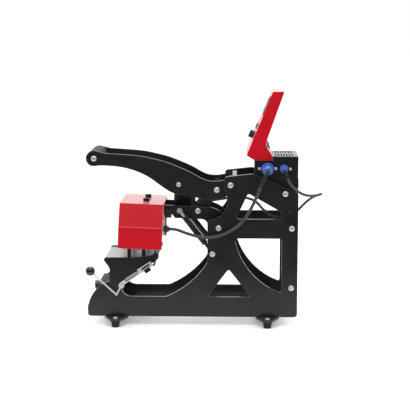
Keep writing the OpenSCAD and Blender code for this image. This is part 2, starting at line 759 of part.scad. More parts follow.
module gas_spring_rods() {
    color("silver") for (s = [-1, 1]) at_spring(s * spring_y) {
        difference() {
            union() {
                eye(rod_eye_d / 2, rod_eye_t, 1);
                cylinder(d = 7.5, h = 11);
                translate([0, 0, 10]) cylinder(d = rod_d, h = piston_end - 12);
            }
            pin_hole(arm_pin_d / 2 + run_gap);
        }
        translate([0, 0, piston_end - 8]) cylinder(d = tube_d - 2 * tube_wall - 2 * run_gap, h = 8);
    }
}

// ---------------------------------------------------------------- heater

heater_c = -125;
heater_top = 305;
heater_fold = 249;
heater_low = 196;
arm_slot = [258, 302];
// Front profile of the housing, as [y, z]
function heater_profile(d) = [
    [-heater_w / 2 + d, heater_low - (d > 0 ? 1 : 0)], [heater_w / 2 - d, heater_low - (d > 0 ? 1 : 0)],
    [heater_w / 2 - d, heater_fold], [heater_top_w / 2 - 0.8 * d, heater_top - d],
    [-heater_top_w / 2 + 0.8 * d, heater_top - d], [-heater_w / 2 + d, heater_fold]
];
module along_x(x0, x1) { translate([x0, 0, 0]) rotate([90, 0, 90]) linear_extrude(x1 - x0) children(); }
module heater_bolt_holes() {
    for (s = [-1, 1]) translate([heater_bolt_x, s * heater_bolt_y, heater_fold - 20])
        cylinder(d = bolt_d + 2 * hole_gap, h = 100);
}
module heater_housing() {
    x0 = heater_c - heater_len / 2;
    x1 = heater_c + heater_len / 2;
    color("#c8102a") tilted() difference() {
        along_x(x0, x1) polygon(heater_profile(0));
        along_x(x0 + heater_sheet, x1 + 1) polygon(heater_profile(heater_sheet));
        heater_bolt_holes();
    }
}
block_half = 42;
block_r = form_r + press_gap;
block_x = [heater_c - 47, heater_c + 47];
module heater_block() {
    color("#9c9ea2") tilted() difference() {
        arch_shell(block_r, block_r + block_t, block_half, block_x[0], block_x[1]);
        for (s = [-1, 1]) translate([heater_bolt_x, s * heater_bolt_y, block_bolt_z])
            cylinder(d = bolt_d + hole_gap, h = 40);
    }
}
// The heater bolts reach half way into the block
block_bolt_z = form_axis_z + sqrt(pow(block_r + block_t / 2, 2) - pow(heater_bolt_y, 2)) - 1;
insulation_t = 10;
sleeve_z0 = form_axis_z + sqrt(pow(block_r + block_t, 2) - pow(heater_bolt_y - 7, 2)) + 0.3;
module heater_insulation() {
    r = block_r + block_t + insulation_t;
    x1 = heater_c + heater_len / 2 - 1;
    color("#e6e4dc") tilted() {
        difference() {
            arch_shell(block_r + block_t + 0.1, r, 36, block_x[0] + 3, block_x[1] + 0.5);
            for (s = [-1, 1]) translate([heater_bolt_x, s * heater_bolt_y, heater_fold - 40])
                cylinder(d = 16.6, h = 60);
        }
        difference() {
            along_x(block_x[1] + 0.5, x1) polygon(heater_profile(heater_sheet + 0.2));
            translate([x1 - 20, -arm_out - 2, arm_slot[0]])
                cube([30, 2 * arm_out + 4, arm_slot[1] - arm_slot[0] + 10]);
            translate([x1 - 20, 0, form_axis_z]) rotate([0, 90, 0]) cylinder(r = block_r + block_t - 4, h = 40);
            translate([x1 - 20, -100, 0]) cube([40, 200, heater_low + 3]);
        }
    }
}
module heater_bolts() {
    color("#141518") tilted() for (s = [-1, 1]) translate([heater_bolt_x, s * heater_bolt_y, 0]) {
        translate([0, 0, block_bolt_z + 0.5]) cylinder(d = bolt_d, h = heater_top - block_bolt_z);
        translate([0, 0, heater_top]) difference() {
            cylinder(d = 14, h = 8);
            translate([0, 0, 4]) cylinder(d = 7, h = 8, $fn = 6);
        }
        difference() {
            translate([0, 0, sleeve_z0]) cylinder(d = 14, h = cross_z - sleeve_z0 - 1.2);
            translate([0, 0, sleeve_z0 - 1]) cylinder(d = bolt_d + 2 * hole_gap, h = 60);
        }
        difference() {
            translate([0, 0, cross_z + cross_t + 1.2])
                cylinder(d = 14, h = heater_top - heater_sheet - cross_z - cross_t - 1.2);
            translate([0, 0, cross_z]) cylinder(d = bolt_d + 2 * hole_gap, h = 60);
        }
    }
}
gland_y = -55;
gland_z = 239;
gland_hole_d = 12;
gland_x = -67.5;
gland_end = gland_x + 11;
module heater_gland() {
    color("#141518") translate([gland_x, gland_y, gland_z]) difference() {
        union() {
            translate([2.5, 0, 0]) rotate([0, 90, 0]) cylinder(d = 20, h = 3.5, $fn = 6);
            translate([5.9, 0, 0]) rotate([0, 90, 0]) cylinder(d1 = 16, d2 = 12, h = 5.1);
            translate([-3, 0, 0]) rotate([0, 90, 0]) cylinder(d = gland_hole_d, h = 7);
            translate([-3.5, 0, 0]) rotate([0, 90, 0]) cylinder(d = 17, h = 3.5, $fn = 6);
            rotate([90, 0, 90]) linear_extrude(2.5)
                polygon([[-11, -13], [11, -13], [55 - arm_out, 24], [55 - arm_out, 44], [52.5 - arm_out, 44],
                    [52.5 - arm_out, 34]]);
            translate([0, 52.5 - arm_out, 27]) cube([16, 2.5, 20]);
        }
        translate([-5, 0, 0]) rotate([0, 90, 0]) cylinder(d = heater_cable_d - 2, h = 14);
    }
}

// ---------------------------------------------------------------- control unit

box_x = [152, 258.5];
box_top = 421;
box_y = frame_in - 0.5;
box_z = box_top - box_h - 11;
socket_big = [184, 391];
socket_small = [223.8, 391.5];
panel_screws = [[164, 391], [203.8, 391], [239, 390.5]];
inlet_c = [26, 352];
switch_c = [-26, 352];
inlet_size = [47, 27];
switch_size = [28, 21];
module control_box() {
    s = box_sheet;
    color("#1c1d20") difference() {
        translate([box_x[0], -box_y, box_z]) cube([box_x[1] - box_x[0], 2 * box_y, box_top - s - box_z]);
        translate([box_x[0] + s, -box_y + s, box_z + s])
            cube([box_x[1] - box_x[0] - 2 * s, 2 * box_y - 2 * s, 200]);
        bar_y(socket_big, -box_y - 1, -box_y + s + 1, big_socket_d - 4);
        bar_y(socket_small, -box_y - 1, -box_y + s + 1, small_socket_d - 4);
        for (p = panel_screws) bar_y(p, -box_y - 1, -box_y + s + 1, 3 + hole_gap);
        both_sides() bar_y(P_BOX_BOLT, -box_y - 1, -box_y + s + 1, bolt_d + 2 * hole_gap);
        both_sides() bar_y(P_BOX_SCREW, -box_y - 1, -box_y + s + 1, box_screw_d + 2 * hole_gap);
        translate([box_x[1] - 5, inlet_c[0] - inlet_size[0] / 2 + 8, inlet_c[1] - inlet_size[1] / 2])
            cube([10, inlet_size[0] - 16, inlet_size[1]]);
        translate([box_x[1] - 5, switch_c[0] - switch_size[0] / 2, switch_c[1] - switch_size[1] / 2])
            cube([10, switch_size[0], switch_size[1]]);
    }
}
vent_x = 204.5;
vent_pitch = 6.7;
vent_len = 44;
vent_rows = [-54, 10];
module control_box_cover() {
    color("#202124") difference() {
        translate([box_x[0], -box_y, box_top - box_sheet]) cube([box_x[1] - box_x[0], 2 * box_y, box_sheet]);
        for (i = [0 : 6], y = vent_rows) translate([vent_x + i * vent_pitch - 1.5, y, box_top - 3])
            cube([3, vent_len, 6]);
        translate([170, 0, box_top - 3]) cylinder(d = 16, h = 6);
    }
}

head_w = 2 * (box_y + head_gap + head_wall);
head_top = [195.2, 577.7];
head_toe = [132.3, 423.4];
head_corners = [
    [head_top[0], head_top[1], 3], [head_toe[0], head_toe[1], 2.5], [152.2, 411.3, 1], [198, 411.3, 1],
    [191.5, 428.5, 2], [178.6, 446, 6], [180.5, 457, 8], [223, 577.7, 2]
];
// Moves every side of an anticlockwise outline of [x, z, r] corners inwards by d
function inset(p, d) =
    let (m = len(p), q = [for (c = p) [c[0], c[1]]])
    [for (i = [0 : m - 1])
        let (
            u = (q[i] - q[(i + m - 1) % m]) / norm(q[i] - q[(i + m - 1) % m]),
            v = (q[(i + 1) % m] - q[i]) / norm(q[(i + 1) % m] - q[i]),
            a = [-u[1], u[0]],
            b = [-v[1], v[0]],
            c = q[i] + (a + b) * d / (1 + a * b)
        )
        [c[0], c[1], p[i][2] / 3]];
face_dir = (head_toe - head_top) / norm(head_toe - head_top);
face_tilt = atan2(face_dir[1], -face_dir[0]);
// A frame on the front face, s down from its top edge: local +Z points out of the face
module on_face(s, y = 0) {
    p = head_top + face_dir * s;
    translate([p[0], y, p[1]]) rotate([0, face_tilt, 0]) children();
}
display_s = [13, 62];
display_w = 96;
button_s = 95.4;
dial_s = 118.8;
button_d = 12;
dial_shaft_d = 6;
module control_head() {
    w = head_w / 2;
    color("#c8102a") difference() {
        across(-w, w) polygon(rounded(head_corners, 4));
        across(-w + head_wall, w - head_wall) polygon(rounded(inset(head_corners, head_wall), 3));
        translate([152 - 0.2, -w + head_wall, 400]) cube([60, 2 * (w - head_wall), box_top + 0.2 - 400]);
        on_face(button_s) translate([0, 0, -6]) cylinder(d = button_d + 0.6, h = 10);
        on_face(dial_s) translate([0, 0, -6]) cylinder(d = dial_shaft_d + 2 * run_gap, h = 10);
        on_face((display_s[0] + display_s[1]) / 2) translate([-20, -display_w / 2 + 6, -5])
            cube([40, display_w - 12, 10]);
    }
}
module display_panel() {
    color("#0c0d10") on_face((display_s[0] + display_s[1]) / 2) {
        h = display_s[1] - display_s[0];
        translate([-h / 2, -display_w / 2, 0]) cube([h, display_w, 2]);
        translate([-19.8, -display_w / 2 + 6.2, -8]) cube([39.6, display_w - 12.4, 8.5]);
    }
}
module push_button() {
    color("#17181a") on_face(button_s) {
        translate([0, 0, -4]) cylinder(d = button_d, h = 8);
        translate([0, 0, -6]) cylinder(d = button_d + 3, h = 3);
        translate([0, 0, -7.5]) cylinder(d = 5, h = 3);
    }
}
module dial_knob() {
    color("#17181a") on_face(dial_s) {
        translate([0, 0, 0.6]) cylinder(d = dial_d, h = 11);
        translate([0, 0, -7.5]) cylinder(d = dial_shaft_d, h = 10);
    }
}
board_depth = -11;
module control_board() {
    color("#1d5a34") {
        on_face(80) translate([-60, -50, board_depth - 1.6]) cube([120, 100, 1.6]);
        for (s = [24, 136], y = [-46.5, 46.5]) on_face(s, y) translate([0, 0, board_depth - 0.5])
            cylinder(d = 6, h = -board_depth - head_wall + 0.5);
        on_face(dial_s) translate([-7, -7, board_depth - 0.5]) cube([14, 14, 3.2]);
        on_face(button_s) translate([-5, -5, board_depth - 0.5]) cube([10, 10, 2.2]);
        on_face((display_s[0] + display_s[1]) / 2) translate([-18, -30, board_depth - 0.5]) cube([36, 60, 3.2]);
    }
}
module power_supply() {
    z = box_z + box_sheet;
    color("#8a8c8f") {
        translate([166, -36, z]) cube([52, 62, 44]);
        translate([160, -42, z]) cube([64, 74, 3]);
        translate([172, -28, z + 44]) cube([40, 46, 6]);
        translate([227, -50, z]) cube([15, 45, 34]);
    }
}
socket_y = 8;
module socket(p, d) {
    bar_y(p, -box_y - socket_y, -box_y + 10, d - 4 - 2 * hole_gap);
    bar_y(p, -box_y - 2.5, -box_y, d + 2);
}
module panel_sockets() {
    color("#3d62b8") {
        socket(socket_big, big_socket_d);
        socket(socket_small, small_socket_d);
    }
    color("silver") for (p = panel_screws) {
        bar_y(p, -box_y - 1.8, -box_y, 5.6);
        bar_y(p, -box_y - 1, -box_y + 6, 3);
    }
}
plug_len = 22;
module plug(p, d, cable) {
    y = -box_y - socket_y - 0.2;
    difference() {
        union() {
            bar_y(p, y - 9, y + 4.5, d);
            bar_y(p, y - plug_len, y - 8, d - 6);
        }
        bar_y(p, y, y + 6, d - 3.6);
    }
    translate([p[0], y - plug_len, p[1]]) rotate([90, 0, 0]) cylinder(d1 = d - 9, d2 = cable + 1.5, h = 6);
}
module cable_plugs() {
    color("#3d62b8") {
        plug(socket_big, big_socket_d, heater_cable_d);
        plug(socket_small, small_socket_d, magnet_cable_d);
    }
}
plug_end = -box_y - socket_y - 0.2 - plug_len - 6;
module mains_inlet() {
    x = box_x[1];
    w = inlet_size[0];
    h = inlet_size[1];
    color("#17181a") difference() {
        union() {
            translate([x, inlet_c[0] - w / 2, inlet_c[1] - h / 2 - 1]) cube([2.5, w, h + 2]);
            translate([x - 18, inlet_c[0] - w / 2 + 8.2, inlet_c[1] - h / 2 + 0.2]) cube([19, w - 16.4, h - 0.4]);
        }
        translate([x - 14, inlet_c[0] - w / 2 + 11.5, inlet_c[1] - h / 2 + 4]) cube([20, w - 23, h - 8]);
    }
    color("silver") {
        for (dy = [-7, 0, 7]) translate([x - 16, inlet_c[0] + dy - 1, inlet_c[1] - 2]) cube([13, 2, 4]);
        both = [-1, 1];
        for (s = both) translate([x + 2, inlet_c[0] + s * (w / 2 - 4), inlet_c[1]]) rotate([0, 90, 0])
            cylinder(d = 5.6, h = 2);
    }
}
rocker_w = 24;
rocker_r = 8.5;
module switch_bezel() {
    w = switch_size[0];
    h = switch_size[1];
    color("#17181a") difference() {
        union() {
            translate([box_x[1], switch_c[0] - w / 2 - 1.5, switch_c[1] - h / 2 - 1.5]) cube([2, w + 3, h + 3]);
            translate([box_x[1] - 14, switch_c[0] - w / 2 + 0.2, switch_c[1] - h / 2 + 0.2])
                cube([15, w - 0.4, h - 0.4]);
        }
        translate([box_x[1] - 9, switch_c[0] - rocker_w / 2, switch_c[1] - rocker_r])
            cube([20, rocker_w, 2 * rocker_r]);
    }
}
module power_rocker() {
    color("#101114") translate([box_x[1] - 3, switch_c[0], switch_c[1]]) {
        across(-rocker_w / 2 + 0.1, rocker_w / 2 - 0.1)
            polygon([[-4, -5], [2, -7.8], [6.6, -6.8], [4.2, 0], [4.9, 6.6], [2, 7.8], [-4, 5]]);
        bar_y([0, 0], -rocker_w / 2 + 0.1, rocker_w / 2 - 0.1, 10);
    }
}

// ---------------------------------------------------------------- cables

// Tube of diameter d swept along points, with n sides
function tube_frames(p, k = 0, up = undef) =
    let (
        m = len(p),
        a = p[max(0, k - 1)],
        b = p[min(m - 1, k + 1)],
        t = (b - a) / norm(b - a),
        seed = up == undef ? (abs(t[2]) < 0.9 ? [0, 0, 1] : [1, 0, 0]) : up,
        u0 = seed - t * (seed * t),
        u = u0 / norm(u0)
    )
    k == m - 1 ? [[u, cross(t, u)]] : concat([[u, cross(t, u)]], tube_frames(p, k + 1, u));
module swept_tube(points, d, n = 8) {
    f = tube_frames(points);
    m = len(points);
    polyhedron(
        points = [for (i = [0 : m - 1], j = [0 : n - 1])
            points[i] + d / 2 * (f[i][0] * cos(360 * j / n) + f[i][1] * sin(360 * j / n))],
        faces = concat(
            [[for (j = [n - 1 : -1 : 0]) j]],
            [for (i = [0 : m - 2], j = [0 : n - 1])
                [i * n + j, i * n + (j + 1) % n, (i + 1) * n + (j + 1) % n, (i + 1) * n + j]],
            [[for (j = [0 : n - 1]) (m - 1) * n + j]]
        )
    );
}
heater_cable_route = [
    [184, -99, 391], [184, -105, 390], [182, -110, 386], [178, -112, 378], [172, -110, 364], [166, -106, 350],
    [159, -102, 332], [151, -98, 313], [140, -93, 290], [127, -89, 270], [112, -86, 253], [95, -83, 241],
    [77, -81, 231], [58, -79, 225], [38, -77, 222], [18, -73, 223], [0, -69, 227], [-18, -65, 232],
    [-36, -59, 237.5], [-48, -55.5, 238.9], [-56.3, -55, 239]
];
module heater_cable() { color("#3a3b3d") swept_tube(smooth(heater_cable_route, 2), heater_cable_d); }
magnet_cable_route = [
    [223.8, -99, 391.5], [223.8, -104, 391], [226, -107, 384], [231, -106, 372], [239, -102, 357],
    [249, -96, 346], [262, -90, 336], [278, -84, 329], [296, -75, 327], [309, -66, 328], [315, -56, 328],
    [310, -48, 325], [298, -46, 320], [285, -49, 312], [273, -53, 302], [262, -56, 291], [250, -57, 282],
    [236, -56.5, 275], [218, -55, 271], [203, -54, 272], [190, -53, 277], [180, -52, 284], [171, -51, 292],
    [163, -50, 301], [153, -47, 309], [139, -41, 314], [121, -34, 316], [103, -28, 315], [85, -23, 312],
    [68, -18, 308.5], [50, -13, 305], [36, -6, 301], [25, -1, 297.2], [18, 0, 296.1], [10.1, 0, 296]
];
module magnet_cable() { color("#3a3b3d") swept_tube(smooth(magnet_cable_route, 2), magnet_cable_d); }

clip_y = [-frame_in, -frame_in + 12];
clip_x = [232, 246];
module cable_clip() {
    color("#17181a") difference() {
        translate([clip_x[0], clip_y[0], P_CLIP[1] - 19]) cube([clip_x[1] - clip_x[0], 12, 26]);
        bar_y(P_CLIP, clip_y[0] - 1, clip_y[0] + 9, box_screw_d + hole_gap);
        translate([(clip_x[0] + clip_x[1]) / 2, -56.5, 276.2]) rotate([0, 61, 0])
            cylinder(d = magnet_cable_d + 1.6, h = 30, center = true);
    }
    color("silver") button_screw(P_CLIP, frame_out, frame_t + 8, 7, 2, box_screw_d);
}

// ---------------------------------------------------------------- every node

side_plate_right();
side_plate_left();
frame_spacers();
handle_pivot_shaft();
arm_pivot_shaft();
spring_anchor_pins();
frame_bolts();
cable_clip();
cross_feet();
rubber_feet();
foot_bolts();
form_mount_block();
lock_knob();
platen_plate_right();
platen_plate_left();
platen_deck();
form_posts();
cap_form();
form_pad();
holddown_lever();
ball_knob();
holddown_bail();
bail_springs();
strap_bar();
handle_plate_right();
handle_plate_left();
handle_grip();
link_pin_upper();
armature_carrier();
armature_plate();
handle_bolts();
links();
arm_plate_right();
arm_plate_left();
arm_cross_plates();
link_pin_lower();
electromagnet();
arm_bolts();
gas_spring_tubes();
gas_spring_rods();
heater_housing();
heater_block();
heater_insulation();
heater_bolts();
heater_gland();
control_box();
control_box_cover();
control_head();
display_panel();
push_button();
dial_knob();
control_board();
power_supply();
panel_sockets();
cable_plugs();
mains_inlet();
switch_bezel();
power_rocker();
heater_cable();
magnet_cable();
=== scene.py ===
import json
import math

import bmesh
import bpy
from mathutils import Matrix, Vector


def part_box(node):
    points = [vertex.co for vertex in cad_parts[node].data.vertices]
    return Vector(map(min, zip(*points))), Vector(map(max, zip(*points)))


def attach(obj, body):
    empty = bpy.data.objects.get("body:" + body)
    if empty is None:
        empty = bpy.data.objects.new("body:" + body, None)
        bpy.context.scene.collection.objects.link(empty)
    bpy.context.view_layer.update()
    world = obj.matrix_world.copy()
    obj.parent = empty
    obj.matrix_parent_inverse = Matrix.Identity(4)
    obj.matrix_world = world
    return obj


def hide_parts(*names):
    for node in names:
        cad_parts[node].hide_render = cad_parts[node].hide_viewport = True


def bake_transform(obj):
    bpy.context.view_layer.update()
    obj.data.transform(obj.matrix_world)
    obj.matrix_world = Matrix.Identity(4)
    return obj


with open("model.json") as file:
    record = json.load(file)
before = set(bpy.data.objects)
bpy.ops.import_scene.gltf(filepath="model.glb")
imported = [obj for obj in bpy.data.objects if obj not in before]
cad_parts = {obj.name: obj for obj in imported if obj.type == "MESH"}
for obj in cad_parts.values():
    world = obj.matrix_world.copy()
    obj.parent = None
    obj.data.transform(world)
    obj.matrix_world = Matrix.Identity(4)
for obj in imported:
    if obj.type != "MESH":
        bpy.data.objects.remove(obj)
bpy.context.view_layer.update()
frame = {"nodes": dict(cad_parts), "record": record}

MM = 0.001
STEEP = 0.9  # share of Z past which a direction counts as upright
NODES = frame["nodes"]


def show(name, data):
    """A new object in the scene for a mesh, a camera or a lamp."""
    item = bpy.data.objects.new(name, data)
    bpy.context.scene.collection.objects.link(item)
    return item


# ---- camera

def aim_camera():
    lens = bpy.data.cameras.new("bench_camera")
    lens.lens = 99.2
    lens.sensor_width = 36
    lens.clip_end = 60
    camera = show("bench_camera", lens)
    camera.location = (0.1135, -2.7911, 0.7453)
    camera.rotation_euler = (math.radians(80.75), 0, math.radians(1.72))
    bpy.context.scene.camera = camera


aim_camera()


# ---- cables

def between(a, b, c, d, t):
    return 0.5 * ((2 * b) + (c - a) * t + (2 * a - 5 * b + 4 * c - d) * t * t
                  + (3 * b - a - 3 * c + d) * t * t * t)


def cable_line(route, steps):
    """The smooth line through a cable's route, from millimetres to metres."""
    points = [Vector(p) * MM for p in route]
    last = len(points) - 1
    line = []
    for i in range(last):
        a, b = points[max(0, i - 1)], points[i]
        c, d = points[i + 1], points[min(last, i + 2)]
        line += [between(a, b, c, d, j / steps) for j in range(steps)]
    return line + [points[last]]


def line_frames(line):
    """Each point of a line with its direction and a steady pair of side vectors."""
    side = None
    frames = []
    for i, p in enumerate(line):
        ahead = (line[min(i + 1, len(line) - 1)] - line[max(i - 1, 0)]).normalized()
        if side is None:
            side = Vector((0, 0, 1) if abs(ahead.z) < STEEP else (1, 0, 0))
        side = (side - ahead * side.dot(ahead)).normalized()
        frames.append((p, ahead, side, ahead.cross(side)))
    return frames


def drawn_tube(name, line, radii, sides=20):
    """A closed tube along a line, with a UV map that runs round and along it."""
    frames = line_frames(line)
    mesh = bpy.data.meshes.new(name)
    verts, faces = [], []
    for (p, _, u, v), r in zip(frames, radii):
        for j in range(sides):
            a = 2 * math.pi * j / sides
            verts.append(p + r * (u * math.cos(a) + v * math.sin(a)))
    for i in range(len(line) - 1):
        for j in range(sides):
            k = (j + 1) % sides
            faces.append((i * sides + j, i * sides + k, (i + 1) * sides + k, (i + 1) * sides + j))
    faces.append(tuple(range(sides - 1, -1, -1)))
    faces.append(tuple((len(line) - 1) * sides + j for j in range(sides)))
    mesh.from_pydata([tuple(v) for v in verts], [], faces)
    along, travelled = [0.0], 0.0
    for a, b in zip(line, line[1:]):
        travelled += (b - a).length
        along.append(travelled)
    uv = mesh.uv_layers.new(name="run")
    for face in mesh.polygons:
        wrap = len(face.vertices) == 4
        for corner, loop in enumerate(face.loop_indices):
            vertex = mesh.loops[loop].vertex_index
            turn = (vertex % sides) / sides
            if wrap and turn == 0 and corner in (1, 2):
                turn = 1.0
            uv.data[loop].uv = (turn, along[vertex // sides])
        face.use_smooth = wrap
    mesh.update()
    return show(name, mesh)


heater_lead_route = [
    [184, -99, 391], [184, -105, 390], [182, -110, 386], [178, -112, 378], [172, -110, 364], [166, -106, 350],
    [159, -102, 332], [151, -98, 313], [140, -93, 290], [127, -89, 270], [112, -86, 253], [95, -83, 241],
    [77, -81, 231], [58, -79, 225], [38, -77, 222], [18, -73, 223], [0, -69, 227], [-18, -65, 232],
    [-36, -59, 237.5], [-48, -55.5, 238.9], [-56.3, -55, 239]
]
magnet_lead_route = [
    [223.8, -99, 391.5], [223.8, -104, 391], [226, -107, 384], [231, -106, 372], [239, -102, 357],
    [249, -96, 346], [262, -90, 336], [278, -84, 329], [296, -75, 327], [309, -66, 328], [315, -56, 328],
    [310, -48, 325], [298, -46, 320], [285, -49, 312], [273, -53, 302], [262, -56, 291], [250, -57, 282],
    [236, -56.5, 275], [218, -55, 271], [203, -54, 272], [190, -53, 277], [180, -52, 284], [171, -51, 292],
    [163, -50, 301], [153, -47, 309], [139, -41, 314], [121, -34, 316], [103, -28, 315], [85, -23, 312],
    [68, -18, 308.5], [50, -13, 305], [36, -6, 301], [25, -1, 297.2], [18, 0, 296.1], [10.1, 0, 296]
]
heater_lead_d = 8.0
magnet_lead_d = 6.5
heater_line = cable_line(heater_lead_route, 6)
magnet_line = cable_line(magnet_lead_route, 5)
heater_lead = drawn_tube("heater_lead", heater_line, [heater_lead_d / 2 * MM] * len(heater_line))
magnet_lead = drawn_tube("magnet_lead", magnet_line, [magnet_lead_d / 2 * MM] * len(magnet_line))


def lead_sleeve(name, line, reach, root_d, tip_d):
    """A moulded sleeve over the first stretch of a lead, thicker at the plug."""
    part, travelled = [line[0]], 0.0
    for a, b in zip(line, line[1:]):
        travelled += (b - a).length
        part.append(b)
        if travelled >= reach:
            break
    count = len(part) - 1
    radii = [(root_d + (tip_d - root_d) * (i / count)) / 2 * MM for i in range(count + 1)]
    return drawn_tube(name, part, radii, 24), part, radii


heater_sleeve, heater_sleeve_line, heater_sleeve_radii = lead_sleeve(
    "heater_lead_sleeve", heater_line, 0.049, 11.0, 9.6)
magnet_sleeve, magnet_sleeve_line, magnet_sleeve_radii = lead_sleeve(
    "magnet_lead_sleeve", magnet_line, 0.026, 9.2, 7.8)


# ---- shader groups

def feed(tree, socket, value):
    """Links an input to a socket, or sets it to a value."""
    if isinstance(value, bpy.types.NodeSocket):
        tree.links.new(value, socket)
    else:
        socket.default_value = value


def add(tree, kind, **inputs):
    """A new node with the inputs given by name fed."""
    node = tree.nodes.new(kind)
    for label, value in inputs.items():
        feed(tree, node.inputs[label.replace("_", " ")], value)
    return node


def new_group(name, inputs, outputs):
    group = bpy.data.node_groups.new(name, "ShaderNodeTree")
    for label, value in inputs:
        kind = "NodeSocketVector" if isinstance(value, tuple) else "NodeSocketFloat"
        group.interface.new_socket(name=label, in_out="INPUT", socket_type=kind).default_value = value
    for label in outputs:
        group.interface.new_socket(name=label, in_out="OUTPUT", socket_type="NodeSocketFloat")
    return group, group.nodes.new("NodeGroupInput"), group.nodes.new("NodeGroupOutput")


def calc(tree, operation, a, b):
    node = tree.nodes.new("ShaderNodeMath")
    node.operation = operation
    for slot, value in enumerate((a, b)):
        feed(tree, node.inputs[slot], value)
    return node.outputs[0]


def times(tree, a, b):
    return calc(tree, "MULTIPLY", a, b)


def spread(tree, value, low, high, to_low=0.0, to_high=1.0):
    node = add(tree, "ShaderNodeMapRange", Value=value, From_Min=low, From_Max=high, To_Min=to_low,
               To_Max=to_high)
    return node.outputs["Result"]


def clouds(tree, where, scale, detail=3.0, rough=0.55, stretch=0.0):
    node = add(tree, "ShaderNodeTexNoise", Vector=where, Scale=scale, Detail=detail, Roughness=rough,
               Distortion=stretch)
    return node.outputs["Fac"]


def place(tree):
    return tree.nodes.new("ShaderNodeTexCoord").outputs["Object"]


def axis_of(tree, vector, axis):
    return add(tree, "ShaderNodeSeparateXYZ", Vector=vector).outputs[axis]


def place_by_lay(group, gin):
    """The place, scaled on each axis by the group's own Lay."""
    node = group.nodes.new("ShaderNodeVectorMath")
    node.operation = "MULTIPLY"
    group.links.new(place(group), node.inputs[0])
    group.links.new(gin.outputs["Lay"], node.inputs[1])
    return node.outputs["Vector"]


def powder_texture_group():
    """Orange peel and fine grit of a baked powder coat, with a slow mottle."""
    group, gin, gout = new_group("powder_texture", [("Grit", 900.0), ("Peel", 260.0)], ["Height", "Mottle"])
    where = place(group)
    grit = clouds(group, where, gin.outputs["Grit"], 2.0)
    cells = add(group, "ShaderNodeTexVoronoi", Vector=where, Scale=gin.outputs["Peel"])
    cells.feature = "SMOOTH_F1"
    height = calc(group, "ADD", times(group, grit, 0.45), times(group, cells.outputs["Distance"], 0.55))
    group.links.new(height, gout.inputs["Height"])
    mottle = spread(group, clouds(group, where, 17.0, 4.0, 0.6, 0.4), 0.32, 0.68)
    group.links.new(mottle, gout.inputs["Mottle"])
    return group


def edge_wear_and_highlight_group():
    """A broken pale line along the edges: corners rubbed thin, and a painted highlight where the edges catch
    the light.
    """
    group, gin, gout = new_group("edge_wear_and_highlight", [("Reach", 0.0009), ("Amount", 0.6)], ["Rub"])
    rounded = add(group, "ShaderNodeBevel", Radius=gin.outputs["Reach"])
    rounded.samples = 4
    facing = group.nodes.new("ShaderNodeNewGeometry")
    dot = group.nodes.new("ShaderNodeVectorMath")
    dot.operation = "DOT_PRODUCT"
    group.links.new(rounded.outputs["Normal"], dot.inputs[0])
    group.links.new(facing.outputs["Normal"], dot.inputs[1])
    bend = spread(group, dot.outputs["Value"], 0.9985, 0.97)
    broken = spread(group, clouds(group, place(group), 85.0, 5.0, 0.7), 0.34, 0.56, 0.35, 1.0)
    rub_and_highlight = times(group, times(group, bend, broken), gin.outputs["Amount"])
    group.links.new(rub_and_highlight, gout.inputs["Rub"])
    return group


def dust_and_top_sheen_group():
    """Pale dust on whatever faces up, which on the red coat is mostly a painted sheen on its up-facing faces.
    """
    group, gin, gout = new_group("dust_and_top_sheen", [("Amount", 0.3), ("Patch", 40.0)], ["Dust"])
    facing = group.nodes.new("ShaderNodeNewGeometry")
    up = spread(group, axis_of(group, facing.outputs["Normal"], "Z"), 0.28, 0.95)
    patch = spread(group, clouds(group, place(group), gin.outputs["Patch"], 5.0, 0.65), 0.3, 0.75, 0.7, 1.0)
    dust_sheen = times(group, times(group, up, patch), gin.outputs["Amount"])
    group.links.new(dust_sheen, gout.inputs["Dust"])
    return group


def drawn_metal_group():
    """Long tool marks left on turned, rolled or brushed metal."""
    group, gin, gout = new_group("drawn_metal", [("Lay", (60.0, 1800.0, 60.0))], ["Height", "Streak"])
    marks = clouds(group, place_by_lay(group, gin), 1.0, 4.0, 0.6)
    group.links.new(marks, gout.inputs["Height"])
    group.links.new(spread(group, marks, 0.3, 0.7), gout.inputs["Streak"])
    return group


def hairline_group():
    """Sparse fine scratches."""
    group, gin, gout = new_group("hairlines", [("Lay", (12.0, 9.0, 130.0)), ("Width", 0.012)], ["Scratch"])
    where = place_by_lay(group, gin)
    cells = add(group, "ShaderNodeTexVoronoi", Vector=where, Scale=1.0)
    cells.feature = "DISTANCE_TO_EDGE"
    thin = calc(group, "LESS_THAN", cells.outputs["Distance"], gin.outputs["Width"])
    kept = spread(group, clouds(group, place(group), 30.0, 2.0), 0.52, 0.6)
    group.links.new(times(group, thin, kept), gout.inputs["Scratch"])
    return group


POWDER_TEXTURE = powder_texture_group()
EDGE_WEAR_AND_HIGHLIGHT = edge_wear_and_highlight_group()
DUST_AND_TOP_SHEEN = dust_and_top_sheen_group()
DRAWN_METAL = drawn_metal_group()
HAIRLINES = hairline_group()


FINISHES = {}


